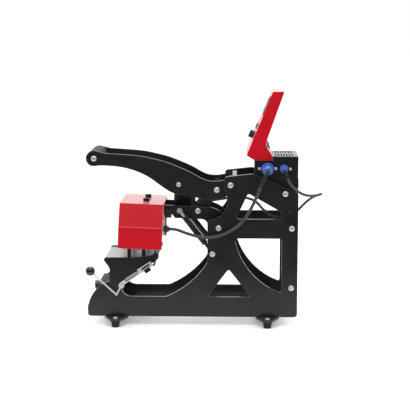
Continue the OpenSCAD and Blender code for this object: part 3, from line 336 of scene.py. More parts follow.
class Finish:
    """One material under construction: its shader, and short ways to feed it."""

    def __init__(self, name, **sockets):
        self.material = FINISHES[name] = bpy.data.materials.new(name)
        self.material.use_nodes = True
        self.tree = self.material.node_tree
        self.shader = self.tree.nodes["Principled BSDF"]
        for label, value in sockets.items():
            self.shader.inputs[label.replace("_", " ")].default_value = value

    def effect(self, group, **values):
        node = self.tree.nodes.new("ShaderNodeGroup")
        node.node_tree = group
        for label, value in values.items():
            node.inputs[label].default_value = value
        return node.outputs

    def blend(self, factor, a, b):
        """A colour that goes from a to b with factor; a and b are colours or sockets."""
        node = self.tree.nodes.new("ShaderNodeMix")
        node.data_type = "RGBA"
        self.tree.links.new(factor, node.inputs[0])
        for slot, value in ((6, a), (7, b)):
            feed(self.tree, node.inputs[slot], (*value, 1) if isinstance(value, tuple) else value)
        return node.outputs[2]

    def feed(self, label, socket):
        self.tree.links.new(socket, self.shader.inputs[label])

    def emboss(self, height, depth):
        bump = add(self.tree, "ShaderNodeBump", Distance=depth, Strength=1.0, Height=height)
        self.tree.links.new(bump.outputs["Normal"], self.shader.inputs["Normal"])

    def made(self, colour, rough, height, depth):
        """Feeds colour, roughness and relief, and gives the material."""
        self.feed("Base Color", colour)
        self.feed("Roughness", rough)
        self.emboss(height, depth)
        return self.material

    def calc(self, operation, a, b):
        return calc(self.tree, operation, a, b)

    def times(self, a, b):
        return times(self.tree, a, b)

    def spread(self, value, low, high, to_low=0.0, to_high=1.0):
        return spread(self.tree, value, low, high, to_low, to_high)

    def clouds(self, scale, detail=3.0, rough=0.55):
        return clouds(self.tree, place(self.tree), scale, detail, rough)


def scaled(colour, by):
    return tuple(c * by for c in colour)


def powder_coat(name, colour, thin, bare_and_highlight, rough, grit, peel, depth, rub_and_highlight, dust_sheen, coat, shine):
    """A baked powder coat over steel, paler along its corners from rub wear and a painted edge highlight, and
    paler on up-facing faces from dust and, on the red coat, a painted sheen.
    """
    f = Finish(name, Roughness=rough, Coat_Weight=coat, Coat_Roughness=0.09, Specular_IOR_Level=shine)
    texture = f.effect(POWDER_TEXTURE, Grit=grit, Peel=peel)
    pale_mark = f.effect(EDGE_WEAR_AND_HIGHLIGHT, Reach=0.0008, Amount=rub_and_highlight)["Rub"]
    dust_and_sheen = f.effect(DUST_AND_TOP_SHEEN, Amount=dust_sheen)["Dust"]
    scratch = f.effect(HAIRLINES)["Scratch"]
    body = f.blend(texture["Mottle"], colour, thin)
    body = f.blend(f.times(scratch, 0.35), body, thin)
    # Paler along the edges: rub wear together with a painted edge highlight.
    body = f.blend(pale_mark, body, bare_and_highlight)
    # Paler grey on up-facing faces: dust, and on the red coat a painted sheen.
    body = f.blend(dust_and_sheen, body, (0.42, 0.41, 0.40))
    rough_now = f.spread(texture["Mottle"], 0, 1, rough - 0.05, rough + 0.06)
    rough_now = f.calc("ADD", rough_now, f.times(dust_and_sheen, 0.25))
    return f.made(body, rough_now, texture["Height"], depth)


def plated_steel(name, colour, dull, rough, lay, depth, tarnish, metal=1.0):
    """Plated or ground steel with its tool marks."""
    f = Finish(name, Metallic=metal, Roughness=rough)
    marks = f.effect(DRAWN_METAL, Lay=lay)
    spots = f.spread(f.clouds(240.0, 5.0, 0.7), 0.55, 0.75, 0, tarnish)
    body = f.blend(spots, f.blend(marks["Streak"], colour, dull), scaled(dull, 0.45))
    worked = f.spread(marks["Streak"], 0, 1, rough - 0.06, rough + 0.1)
    return f.made(body, f.calc("ADD", worked, f.times(spots, 0.25)), marks["Height"], depth)


def black_oxide(name, colour, edge, rough):
    """Blackened steel, bright again along its edges."""
    f = Finish(name, Metallic=0.85, Roughness=rough)
    marks = f.effect(DRAWN_METAL, Lay=(700.0, 700.0, 90.0))
    pale_mark = f.effect(EDGE_WEAR_AND_HIGHLIGHT, Reach=0.0006, Amount=0.7)["Rub"]
    body = f.blend(pale_mark, f.blend(marks["Streak"], colour, scaled(colour, 1.7)), edge)
    return f.made(body, f.spread(marks["Streak"], 0, 1, rough - 0.07, rough + 0.08), marks["Height"], 0.00004)


def cast_metal(name, colour, dark, rough):
    """Sand-cast aluminium with faint machining marks."""
    f = Finish(name, Metallic=1.0, Roughness=rough)
    texture = f.effect(POWDER_TEXTURE, Grit=1300.0, Peel=420.0)
    marks = f.effect(DRAWN_METAL, Lay=(1400.0, 50.0, 50.0))
    body = f.blend(texture["Mottle"], f.blend(marks["Streak"], colour, dark), dark)
    grainy = f.spread(texture["Height"], 0.2, 0.7, rough - 0.08, rough + 0.12)
    return f.made(body, grainy, texture["Height"], 0.00012)


def moulded_rubber(name, colour, bloom, rough, grit, depth, dust_sheen=0.25):
    """Rubber or foam with a fine skin and a pale bloom."""
    f = Finish(name, Roughness=rough, Specular_IOR_Level=0.2)
    texture = f.effect(POWDER_TEXTURE, Grit=grit, Peel=grit * 0.4)
    dust_and_sheen = f.effect(DUST_AND_TOP_SHEEN, Amount=dust_sheen, Patch=70.0)["Dust"]
    body = f.blend(dust_and_sheen, f.blend(texture["Mottle"], colour, bloom), (0.3, 0.29, 0.28))
    grainy = f.spread(texture["Height"], 0.2, 0.7, rough - 0.08, min(1, rough + 0.08))
    return f.made(body, grainy, texture["Height"], depth)


def moulded_plastic(name, colour, faded, rough, depth=0.00006, grit=1600.0, rub_and_highlight=0.25, coat=0.0):
    """Injection-moulded plastic with a spark-eroded skin."""
    f = Finish(name, Roughness=rough, Coat_Weight=coat, Coat_Roughness=0.06)
    texture = f.effect(POWDER_TEXTURE, Grit=grit, Peel=grit * 0.5)
    pale_mark = f.effect(EDGE_WEAR_AND_HIGHLIGHT, Reach=0.0005, Amount=rub_and_highlight)["Rub"]
    rubbed = tuple(min(1, c * 2 + 0.03) for c in faded)
    body = f.blend(pale_mark, f.blend(texture["Mottle"], colour, faded), rubbed)
    mottled = f.spread(texture["Mottle"], 0, 1, max(0.05, rough - 0.05), rough + 0.07)
    return f.made(body, mottled, texture["Height"], depth)


def fibre_board(name):
    """Pressed ceramic fibre: matted strands over a soft, chalky board."""
    f = Finish(name, Roughness=0.95, Specular_IOR_Level=0.2)
    strands = f.effect(DRAWN_METAL, Lay=(420.0, 420.0, 150.0))
    crossed = f.effect(DRAWN_METAL, Lay=(130.0, 500.0, 500.0))
    felt = f.calc("MAXIMUM", strands["Height"], crossed["Height"])
    body = f.blend(f.spread(felt, 0.4, 0.75), (0.60, 0.57, 0.48), (0.86, 0.85, 0.80))
    return f.made(body, f.spread(felt, 0.3, 0.8, 0.98, 0.86), felt, 0.0004)


def laminate(name):
    """Green board laminate with the woven glass just showing."""
    f = Finish(name, Roughness=0.38, Coat_Weight=0.3)
    where = place(f.tree)
    waves = []
    for turn in ("Y", "Z"):
        node = add(f.tree, "ShaderNodeTexWave", Scale=260.0, Vector=where)
        node.bands_direction = turn
        waves.append(node.outputs["Fac"])
    weave = f.times(waves[0], waves[1])
    body = f.blend(weave, (0.012, 0.10, 0.035), (0.03, 0.19, 0.07))
    return f.made(body, f.spread(weave, 0, 1, 0.34, 0.46), weave, 0.00003)


def smoked_window(name):
    """Smoked display window, with a few wiping marks."""
    f = Finish(name, Roughness=0.1, Coat_Weight=0.6, Coat_Roughness=0.04)
    wipe = f.clouds(26.0, 4.0, 0.6)
    body = f.blend(f.spread(wipe, 0.35, 0.7), (0.006, 0.008, 0.011), (0.016, 0.019, 0.024))
    return f.made(body, f.spread(wipe, 0.3, 0.75, 0.06, 0.22), f.clouds(900.0, 2.0), 0.000008)


def cable_jacket(name, colour, pale_mark):
    """Rubber jacket: drawn lines along the run, with scuffs."""
    f = Finish(name, Roughness=0.5, Specular_IOR_Level=0.45)
    run = f.tree.nodes.new("ShaderNodeUVMap")
    run.uv_map = "run"
    lie = add(f.tree, "ShaderNodeMapping", Scale=(14.0, 9.0, 1.0), Vector=run.outputs["UV"])
    drawn = clouds(f.tree, lie.outputs["Vector"], 3.0, 3.0)
    scuff = f.spread(f.clouds(150.0, 5.0, 0.7), 0.5, 0.72)
    body = f.blend(scuff, f.blend(drawn, colour, scaled(colour, 1.35)), pale_mark)
    return f.made(body, f.spread(drawn, 0.3, 0.7, 0.42, 0.6), drawn, 0.00018)


def lit_segment(name, colour, strength):
    """A lit display segment, brighter in its middle."""
    f = Finish(name, Roughness=0.3, Emission_Strength=strength)
    glow = f.spread(f.clouds(380.0, 2.0), 0.3, 0.7)
    f.feed("Base Color", f.blend(glow, scaled(colour, 0.5), colour))
    f.feed("Emission Color", f.blend(glow, scaled(colour, 0.8), colour))
    return f.material


def print_ink(name, colour, faded):
    """Printed legend ink, slightly broken."""
    f = Finish(name, Roughness=0.55)
    grain = f.clouds(1500.0, 3.0, 0.7)
    body = f.blend(f.spread(grain, 0.35, 0.7), faded, colour)
    return f.made(body, f.spread(grain, 0.3, 0.7, 0.48, 0.66), grain, 0.00002)


def top_paint_and_sheen(name, colour, thin, bare_and_highlight, rough, grit, peel, depth, rub_and_highlight, dust_sheen, under, top):
    """The deck: silver paint on its top, black coat on everything under it; the pale silver top is partly a
    painted grazing reflection.
    """
    f = Finish(name, Roughness=rough, Coat_Weight=0.0, Coat_Roughness=0.1)
    texture = f.effect(POWDER_TEXTURE, Grit=grit, Peel=peel)
    pale_mark = f.effect(EDGE_WEAR_AND_HIGHLIGHT, Reach=0.0007, Amount=rub_and_highlight)["Rub"]
    dust_and_sheen = f.effect(DUST_AND_TOP_SHEEN, Amount=dust_sheen)["Dust"]
    height = axis_of(f.tree, place(f.tree), "Z")
    ragged = f.calc("ADD", height, f.spread(f.clouds(300.0), 0, 1, -0.0006, 0.0006))
    # Mask of the top face, where the paler silver is partly a painted grazing reflection.
    silver = f.spread(ragged, top - 0.0040, top - 0.0034)
    paint = f.blend(texture["Mottle"], colour, thin)
    body = f.blend(silver, under, paint)
    body = f.blend(f.times(pale_mark, silver), body, bare_and_highlight)
    body = f.blend(f.times(dust_and_sheen, 0.6), body, (0.55, 0.54, 0.52))
    mottled = f.spread(texture["Mottle"], 0, 1, rough - 0.05, rough + 0.08)
    return f.made(body, mottled, texture["Height"], depth)


BLACK = (0.0105, 0.0106, 0.0125)
DECK_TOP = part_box("platen_deck")[1].z
# On the black coat the light bare colour and strong rub paint the pale lines its edges show: painted edge
# highlight along with wear.
powder_coat("black_powder_coat", BLACK, (0.016, 0.016, 0.019), (0.20, 0.20, 0.21), rough=0.38,
            grit=1100.0, peel=420.0, depth=0.00007, rub_and_highlight=0.8, dust_sheen=0.06, coat=0.30, shine=0.25)
# On the red coat the large dust_sheen amount paints the upper faces paler: a painted sheen more than dust.
powder_coat("red_powder_coat", (0.47, 0.0, 0.008), (0.53, 0.002, 0.012), (0.86, 0.22, 0.23), rough=0.36,
            grit=900.0, peel=330.0, depth=0.00006, rub_and_highlight=0.75, dust_sheen=0.50, coat=0.45, shine=0.12)
top_paint_and_sheen("silver_deck_paint", (0.33, 0.34, 0.37), (0.39, 0.40, 0.43), (0.75, 0.75, 0.76), rough=0.36,
            grit=1000.0, peel=380.0, depth=0.00006, rub_and_highlight=0.5, dust_sheen=0.12, under=BLACK, top=DECK_TOP)
plated_steel("zinc_steel", (0.80, 0.795, 0.78), (0.58, 0.575, 0.56), rough=0.28,
             lay=(900.0, 900.0, 200.0), depth=0.00003, tarnish=0.35, metal=0.55)
plated_steel("polished_steel", (0.80, 0.80, 0.81), (0.68, 0.68, 0.69), rough=0.20,
             lay=(60.0, 1700.0, 60.0), depth=0.00002, tarnish=0.2, metal=0.8)
black_oxide("blackened_steel", (0.020, 0.020, 0.023), (0.30, 0.30, 0.31), rough=0.42)
cast_metal("cast_aluminium", (0.72, 0.72, 0.74), (0.55, 0.55, 0.57), rough=0.42)
moulded_rubber("black_rubber", (0.014, 0.014, 0.015), (0.024, 0.024, 0.025), rough=0.62,
               grit=700.0, depth=0.00018)
moulded_rubber("grip_foam", (0.012, 0.012, 0.014), (0.022, 0.022, 0.024), rough=0.74,
               grit=1500.0, depth=0.0004, dust_sheen=0.15)
moulded_rubber("silicone_pad", (0.46, 0.46, 0.47), (0.56, 0.56, 0.56), rough=0.70,
               grit=1200.0, depth=0.00012, dust_sheen=0.2)
fibre_board("ceramic_fibre")
moulded_plastic("black_plastic", (0.015, 0.015, 0.017), (0.025, 0.025, 0.028), rough=0.46)
moulded_plastic("gloss_black_plastic", (0.005, 0.005, 0.006), (0.009, 0.009, 0.010), rough=0.14,
                depth=0.00001, grit=700.0, rub_and_highlight=0.15, coat=0.5)
smoked_window("display_window")
moulded_plastic("blue_plastic", (0.045, 0.115, 0.50), (0.075, 0.17, 0.62), rough=0.36,
                depth=0.00005, grit=1500.0, rub_and_highlight=0.3, coat=0.2)
laminate("board_laminate")
plated_steel("supply_case", (0.62, 0.62, 0.64), (0.50, 0.50, 0.52), rough=0.40,
             lay=(50.0, 1500.0, 50.0), depth=0.00003, tarnish=0.3)
cable_jacket("cable_jacket", (0.036, 0.037, 0.040), (0.075, 0.076, 0.080))
# A lighter, glossier copy of the red coat for the fold beads: a painted highlight along the housing's folds.
RED_FOLD_HIGHLIGHT = powder_coat("red_fold_highlight_coat", (0.60, 0.035, 0.045), (0.68, 0.08, 0.09), (0.86, 0.30, 0.31),
                         rough=0.34, grit=900.0, peel=330.0, depth=0.00004, rub_and_highlight=0.3, dust_sheen=0.2, coat=0.6,
                         shine=0.4)
ROUGH_BLACK = powder_coat("rough_black_coat", BLACK, (0.015, 0.015, 0.017), (0.12, 0.12, 0.13), rough=0.62,
                          grit=700.0, peel=260.0, depth=0.00014, rub_and_highlight=0.7, dust_sheen=0.10, coat=0.0, shine=0.2)
LIT_RED = lit_segment("lit_red_segment", (0.75, 0.035, 0.02), strength=0.30)
LIT_GREEN = lit_segment("lit_green_segment", (0.05, 0.55, 0.14), strength=0.25)
UNLIT = moulded_plastic("unlit_segment", (0.016, 0.010, 0.010), (0.024, 0.014, 0.014), rough=0.30)
LEGEND = print_ink("legend_ink", (0.85, 0.85, 0.83), (0.66, 0.66, 0.64))


# ---- geometry node trees

def field_tree(name, inputs):
    """A tree with one geometry input and one output, and named inputs of its own."""
    tree = bpy.data.node_groups.new(name, "GeometryNodeTree")
    tree.interface.new_socket(name="Geometry", in_out="INPUT", socket_type="NodeSocketGeometry")
    for label, kind, value in inputs:
        socket = tree.interface.new_socket(name=label, in_out="INPUT", socket_type="NodeSocket" + kind)
        if value is not None:
            socket.default_value = value
    tree.interface.new_socket(name="Geometry", in_out="OUTPUT", socket_type="NodeSocketGeometry")
    return tree, tree.nodes.new("NodeGroupInput"), tree.nodes.new("NodeGroupOutput")


def close_tree(tree, source, gin, gout):
    """Realize, give the finish, and put out."""
    real = add(tree, "GeometryNodeRealizeInstances", Geometry=source)
    paint = add(tree, "GeometryNodeSetMaterial", Geometry=real.outputs["Geometry"],
                Material=gin.outputs["Finish"])
    tree.links.new(paint.outputs["Geometry"], gout.inputs["Geometry"])


def named(tree, label):
    node = add(tree, "GeometryNodeInputNamedAttribute", Name=label)
    node.data_type = "FLOAT_VECTOR"
    return node.outputs["Attribute"]


def spots_with_turn(tree, gin, shape):
    """Instances of a shape on the input points, each turned by its own aim and sized by its own size."""
    turn = add(tree, "FunctionNodeEulerToRotation", Euler=named(tree, "aim"))
    spots = add(tree, "GeometryNodeInstanceOnPoints", Points=gin.outputs["Geometry"], Instance=shape,
                Rotation=turn.outputs["Rotation"], Scale=named(tree, "size"))
    return spots.outputs["Instances"]


def copies_tree():
    """One turned or cut part, repeated at the places that are given."""
    tree, gin, gout = field_tree("fastener_copies", [("Part", "Object", None), ("Finish", "Material", None)])
    info = add(tree, "GeometryNodeObjectInfo", Object=gin.outputs["Part"])
    close_tree(tree, spots_with_turn(tree, gin, info.outputs["Geometry"]), gin, gout)
    return tree


def coil_tree():
    """A wound wire spring at each place, its axis along the place's own Z."""
    tree, gin, gout = field_tree("wound_spring", [
        ("Turns", "Float", 12.0), ("Coil Radius", "Float", 0.003), ("Wire Radius", "Float", 0.0005),
        ("Length", "Float", 0.03), ("Steps", "Int", 240), ("Finish", "Material", None)])
    radius = gin.outputs["Coil Radius"]
    helix = add(tree, "GeometryNodeCurveSpiral", Resolution=gin.outputs["Steps"],
                Rotations=gin.outputs["Turns"], Start_Radius=radius, End_Radius=radius,
                Height=gin.outputs["Length"])
    rod = add(tree, "GeometryNodeCurvePrimitiveCircle", Resolution=8, Radius=gin.outputs["Wire Radius"])
    sweep = add(tree, "GeometryNodeCurveToMesh", Curve=helix.outputs["Curve"],
                Profile_Curve=rod.outputs["Curve"], Fill_Caps=True)
    smooth = add(tree, "GeometryNodeSetShadeSmooth", Geometry=sweep.outputs["Mesh"])
    close_tree(tree, spots_with_turn(tree, gin, smooth.outputs["Geometry"]), gin, gout)
    return tree


def flute_tree():
    """Raised ribs evenly round each place's own Z."""
    tree, gin, gout = field_tree("grip_flutes", [
        ("Count", "Int", 24), ("Ring Radius", "Float", 0.009), ("Rib Radius", "Float", 0.0006),
        ("Rib Length", "Float", 0.009), ("Finish", "Material", None)])
    ring = add(tree, "GeometryNodeMeshCircle", Vertices=gin.outputs["Count"],
               Radius=gin.outputs["Ring Radius"])
    rib = add(tree, "GeometryNodeMeshCylinder", Vertices=8, Radius=gin.outputs["Rib Radius"],
              Depth=gin.outputs["Rib Length"])
    rib.fill_type = "NGON"
    each = add(tree, "GeometryNodeInstanceOnPoints", Points=ring.outputs["Mesh"],
               Instance=rib.outputs["Mesh"])
    close_tree(tree, spots_with_turn(tree, gin, each.outputs["Instances"]), gin, gout)
    return tree


COPIES = copies_tree()
WOUND_SPRING = coil_tree()
GRIP_FLUTES = flute_tree()


def facing(direction, spin=0.0):
    """The turn that brings Z to a direction, after a spin about Z."""
    turn = Vector((0, 0, 1)).rotation_difference(Vector(direction).normalized())
    return (turn.to_matrix() @ Matrix.Rotation(spin, 3, "Z")).to_euler()


def grow(name, tree, places, **values):
    """Runs a tree on places, each (point in millimetres, turn, size), and keeps the plain mesh."""
    mesh = bpy.data.meshes.new(name + "_places")
    mesh.from_pydata([tuple(Vector(p) * MM) for p, _, _ in places], [], [])
    for label, pick in (("aim", 1), ("size", 2)):
        data = mesh.attributes.new(label, "FLOAT_VECTOR", "POINT").data
        for i, spot in enumerate(places):
            value = spot[pick]
            data[i].vector = (value, value, value) if isinstance(value, (int, float)) else tuple(value)
    seed = show(name + "_places", mesh)
    modifier = seed.modifiers.new("grow", "NODES")
    modifier.node_group = tree
    ids = {item.name: item.identifier for item in tree.interface.items_tree if item.in_out == "INPUT"}
    for label, value in values.items():
        modifier[ids[label.replace("_", " ")]] = value
    graph = bpy.context.evaluated_depsgraph_get()
    graph.update()
    grown = bpy.data.meshes.new_from_object(
        seed.evaluated_get(graph), preserve_all_data_layers=True, depsgraph=graph)
    seed.modifiers.remove(modifier)
    bpy.data.objects.remove(seed)
    for label in ("aim", "size"):
        if label in grown.attributes:
            grown.attributes.remove(grown.attributes[label])
    grown.name = name
    return show(name, grown)


def plain_mesh(name, shape):
    """The mesh of a bmesh, its faces turned outwards."""
    bmesh.ops.recalc_face_normals(shape, faces=shape.faces[:])
    mesh = bpy.data.meshes.new(name)
    shape.to_mesh(mesh)
    shape.free()
    return mesh


def turned(name, profile, sides):
    """A part turned about Z from a closed profile of (radius, height) in millimetres."""
    shape = bmesh.new()
    turns = [2 * math.pi * k / sides for k in range(sides)]
    rings = []
    for r, z in profile:
        if r < 1e-6:
            rings.append([shape.verts.new((0, 0, z * MM))])
        else:
            rings.append([shape.verts.new((r * MM * math.cos(a), r * MM * math.sin(a), z * MM))
                          for a in turns])
    for a, b in zip(rings, rings[1:] + rings[:1]):
        for k in range(sides):
            n = (k + 1) % sides
            corners = [a[k % len(a)], a[n % len(a)], b[n % len(b)], b[k % len(b)]]
            corners = list(dict.fromkeys(corners))
            if len(corners) > 2 and not (len(a) == 1 and len(b) == 1):
                shape.faces.new(corners)
    mesh = plain_mesh(name, shape)
    for face in mesh.polygons:
        face.use_smooth = True
    mesh.set_sharp_from_angle(angle=math.radians(35))
    return show(name, mesh)


def cut_plate(name, outline, thickness):
    """A flat part from an outline in millimetres, from Z 0 to its thickness."""
    shape = bmesh.new()
    low = [shape.verts.new((x * MM, y * MM, 0)) for x, y in outline]
    high = [shape.verts.new((x * MM, y * MM, thickness * MM)) for x, y in outline]
    shape.faces.new(low[::-1])
    shape.faces.new(high)
    for k in range(len(outline)):
        n = (k + 1) % len(outline)
        shape.faces.new((low[k], low[n], high[n], high[k]))
    return show(name, plain_mesh(name, shape))


def drop(*parts):
    for part in parts:
        bpy.data.objects.remove(part)


def settle(piece, body, finish=None):
    """Finish and body of a piece that is in its place."""
    if finish is not None:
        piece.data.materials.clear()
        piece.data.materials.append(finish)
    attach(piece, body)
    return piece


def dress(name, tree, places, body, slot, finish=None, **values):
    """Grows a piece in its slot's finish, or in another one, and seats it on a body."""
    finish = finish or FINISHES[slot]
    return settle(grow(name, tree, places, Finish=finish, **values), body)


def copies(name, part, places, body, slot, finish=None):
    """Copies of one part at the places given, as one piece."""
    return dress(name, COPIES, places, body, slot, finish, Part=part)


# ---- carried-over nodes

def shade_tree():
    """Smooth shading that breaks at real corners."""
    tree, gin, gout = field_tree("smooth_to_corners", [("Corner", "Float", math.radians(30))])
    angle = tree.nodes.new("GeometryNodeInputMeshEdgeAngle")
    small = add(tree, "FunctionNodeCompare", A=angle.outputs["Unsigned Angle"], B=gin.outputs["Corner"])
    small.operation = "LESS_THAN"
    faces = add(tree, "GeometryNodeSetShadeSmooth", Geometry=gin.outputs["Geometry"])
    faces.domain = "FACE"
    edges = add(tree, "GeometryNodeSetShadeSmooth", Geometry=faces.outputs["Geometry"],
                Shade_Smooth=small.outputs["Result"])
    edges.domain = "EDGE"
    tree.links.new(edges.outputs["Geometry"], gout.inputs["Geometry"])
    return tree


SMOOTH_TO_CORNERS = shade_tree()
CORNER_INPUT = next(item.identifier for item in SMOOTH_TO_CORNERS.interface.items_tree
                    if item.name == "Corner")

# Sheet parts whose shallow folds stay crisp, and the angles in degrees from which an edge is a corner
FOLDED = ("heater_housing", "control_head", "control_box", "control_box_cover")
FOLD_ANGLE, CORNER_ANGLE = 11, 30

# Nodes by the width of their eased edges, in millimetres
EASED_NODES = {
    0.2: "gas_spring_rods",
    0.3: "gas_spring_tubes",
    0.4: "frame_spacers platen_deck heater_gland control_box control_box_cover push_button mains_inlet"
         " switch_bezel cable_clip panel_sockets",
    0.5: "form_mount_block platen_plate_right platen_plate_left armature_carrier armature_plate"
         " arm_cross_plates heater_housing display_panel power_rocker cable_plugs lock_knob rubber_feet",
    0.6: "cross_feet links arm_plate_right arm_plate_left electromagnet heater_insulation dial_knob",
    0.7: "side_plate_right side_plate_left handle_plate_right handle_plate_left",
    0.8: "handle_grip",
    0.9: "control_head",
}
EASED = {node: width for width, nodes in EASED_NODES.items() for node in nodes.split()}


def modify(node, name, kind, **settings):
    modifier = node.modifiers.new(name, kind)
    for label, value in settings.items():
        setattr(modifier, label, value)
    return modifier


def dress_cad_nodes():
    """Every carried-over node gets its finish and clean shading, and the nodes in EASED get eased edges."""
    for part in frame["record"]["subparts"]:
        node = NODES[part["node"]]
        finish = FINISHES[part["material_slot"]]
        if part["node"] == "form_mount_block":
            finish = ROUGH_BLACK
        if len(node.material_slots) == 0:
            node.data.materials.append(finish)
        for material_slot in node.material_slots:
            material_slot.material = finish
        corner = FOLD_ANGLE if part["node"] in FOLDED else CORNER_ANGLE
        modify(node, "join", "WELD", merge_threshold=0.000002)
        width = EASED.get(part["node"], 0.0)
        if width:
            modify(node, "flats", "DECIMATE", decimate_type="DISSOLVE", angle_limit=math.radians(0.6))
            modify(node, "ease", "BEVEL", width=width * MM, segments=2, limit_method="ANGLE",
                   angle_limit=math.radians(corner + 1), use_clamp_overlap=True)
        shade = modify(node, "shade", "NODES", node_group=SMOOTH_TO_CORNERS)
        shade[CORNER_INPUT] = math.radians(corner)
        if width:
            modify(node, "even", "WEIGHTED_NORMAL", mode="FACE_AREA", weight=80, keep_sharp=True)


dress_cad_nodes()


# ---- cable pieces

def finish_cables():
    for lead in (heater_lead, magnet_lead):
        lead.data.materials.append(FINISHES["cable_jacket"])
    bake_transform(heater_lead)
    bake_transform(magnet_lead)
    bead = turned("sleeve_bead", [(0.86, -0.9), (1.0, -0.55), (1.06, 0.0), (1.0, 0.55), (0.86, 0.9)], 28)
    for name, line, radii in (("heater_sleeve_beads", heater_sleeve_line, heater_sleeve_radii),
                              ("magnet_sleeve_beads", magnet_sleeve_line, magnet_sleeve_radii)):
        frames = line_frames(line)
        places = []
        for i in range(2, len(line) - 1, 2):
            p, ahead, _, _ = frames[i]
            r = radii[i] / MM
            places.append((p / MM, facing(ahead), (r, r, 1.0)))
        copies(name, bead, places, "frame", "black_rubber")
    drop(bead)
    for sleeve in (heater_sleeve, magnet_sleeve):
        settle(sleeve, "frame", FINISHES["black_rubber"])
    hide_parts("heater_cable")
    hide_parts("magnet_cable")


finish_cables()


# ---- fasteners

# Half widths over the outer faces of the frame, the handle and the arm, in millimetres
FRAME_Y, HANDLE_Y, ARM_Y = 71.0, 62.0, 46.0
BOX_FRONT = -62.5
HEATER_TILT = Matrix.Rotation(math.radians(2.2), 3, "Y")
HEATER_PIVOT = Vector((-125.0, 0.0, 252.0))
TURN_PER_BOLT = 0.35  # how far each bolt in a row is turned past the one before


def seats(points, half, rise):
    """Places for the same fastener on both outer faces, rise above the seat."""
    return [((x, side * (half + rise), z), facing((0, side, 0), TURN_PER_BOLT * k), 1.0)
            for k, (x, z) in enumerate(points) for side in (-1, 1)]


def head_rims():
    """The raised rim round the hex socket of each button head."""
    rim = turned("socket_rim", [(3.0, -0.6), (3.05, 0.16), (3.35, 0.32), (3.75, 0.16), (4.0, -0.6)], 36)
    head_height, sunk = 4.5, 0.55
    for name, points, half, body in (
            ("frame_bolt_rims", [(94, 351), (65, 244.5), (50, 180), (244, 244.5), (244, 95.5)],
             FRAME_Y, "frame"),
            ("handle_bolt_rims", [(-240, 414), (60.5, 338)], HANDLE_Y, "handle"),
            ("arm_bolt_rims", [(13.5, 283)], ARM_Y, "heater_arm")):
        copies(name, rim, seats(points, half, head_height - sunk), body, "zinc_steel")
    drop(rim)


def panel_screw_heads():
    """Small domed screws beside the two sockets."""
    screw = turned("panel_screw", [(0, 0.1), (3.3, 0.1), (3.3, 1.5), (2.8, 2.1), (1.6, 2.5), (0, 2.6)], 28)
    spots = [((x, BOX_FRONT - 0.1, z), facing((0, -1, 0)), 1.0)
             for x, z in ((164, 391), (203.8, 391), (239, 390.5))]
    copies("panel_screw_heads", screw, spots, "frame", "zinc_steel")
    drop(screw)


def drawn_rod(name, length, radius):
    """A round rod along Z, centred, with eased ends."""
    half = length / 2
    end = [(0, -half), (radius * 0.7, -half + radius * 0.2), (radius, -half + radius)]
    return turned(name, end + [(r, -z) for r, z in reversed(end)], 12)


def housing_fold_beads():
    """The rounded creases of the heater's housing, at its side folds and along its flat top, in a lighter,
    glossier red: a painted highlight along the folds.
    """
    for name, y, z in (("housing_fold_beads", 94.7, 249.0), ("housing_top_beads", 75.6, 304.6)):
        rod = drawn_rod("fold_rod", 106.0, 0.65)
        spots = []
        for side in (-1, 1):
            at = HEATER_PIVOT + HEATER_TILT @ (Vector((-125.0, side * y, z)) - HEATER_PIVOT)
            spots.append((at, facing(HEATER_TILT @ Vector((1, 0, 0))), 1.0))
        copies(name, rod, spots, "heater_arm", "red_powder_coat", RED_FOLD_HIGHLIGHT)
        drop(rod)


def heater_stud_grips():
    """Knurling round the two black nuts on the heater."""
    lo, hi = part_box("heater_bolts")
    x, z = (lo.x + hi.x) / 2 / MM, hi.z / MM - 4.2
    spots = [((x, y, z), facing(HEATER_TILT @ Vector((0, 0, 1))), 1.0) for y in (-32, 32)]
    dress("heater_nut_flutes", GRIP_FLUTES, spots, "heater_arm", "blackened_steel",
          Count=22, Ring_Radius=0.0069, Rib_Radius=0.0007, Rib_Length=0.0062)


head_rims()
panel_screw_heads()
housing_fold_beads()
heater_stud_grips()


# ---- plugs

def plug_flutes():
    """Grip flutes on the coupling rings of both plugs."""
    socket_depth, gap, half_ring = 8, 0.2, 3.6
    y = BOX_FRONT - socket_depth - gap - half_ring
    for name, x, z, r, n in (("heater_plug_flutes", 184, 391, 14.0, 26),
                             ("magnet_plug_flutes", 223.8, 391.5, 9.0, 18)):
        dress(name, GRIP_FLUTES, [((x, y, z), facing((0, -1, 0)), 1.0)], "frame", "blue_plastic",
              Count=n, Ring_Radius=r * MM, Rib_Radius=0.0009, Rib_Length=0.0082)


plug_flutes()


# ---- hold-down

def bail_coils():
    """The two wound springs that ride on the bails, and the rods inside them."""
    foot, head = Vector((-174, 0, 102)), Vector((-86, 0, 160))
    angle = math.atan2(head.z - foot.z, head.x - foot.x)
    along = Vector((math.cos(angle), 0, math.sin(angle)))
    above = Vector((-math.sin(angle), 0, math.cos(angle)))
    start = foot + along * 17.5 + above * 6.3
    spots = [((start.x, side * 83, start.z), facing(along), 1.0) for side in (-1, 1)]
    coils = dress("bail_coils", WOUND_SPRING, spots, "holddown", "zinc_steel",
                  Turns=13.0, Coil_Radius=0.0032, Wire_Radius=0.00062, Length=0.0335, Steps=24)
    hook = turned("coil_hook", [(0.0, -4.2), (0.8, -4.0), (0.8, 37.0), (0.0, 37.2)], 14)
    copies("bail_coil_rods", hook, spots, "holddown", "zinc_steel")
    drop(hook)
    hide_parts("bail_springs")


bail_coils()


# ---- control head

HEAD_TOP = Vector((195.2, 0, 577.7))
DOWN_FACE = (Vector((132.3, 0, 423.4)) - HEAD_TOP).normalized()
OUT_FACE = Vector((DOWN_FACE.z, 0, -DOWN_FACE.x))


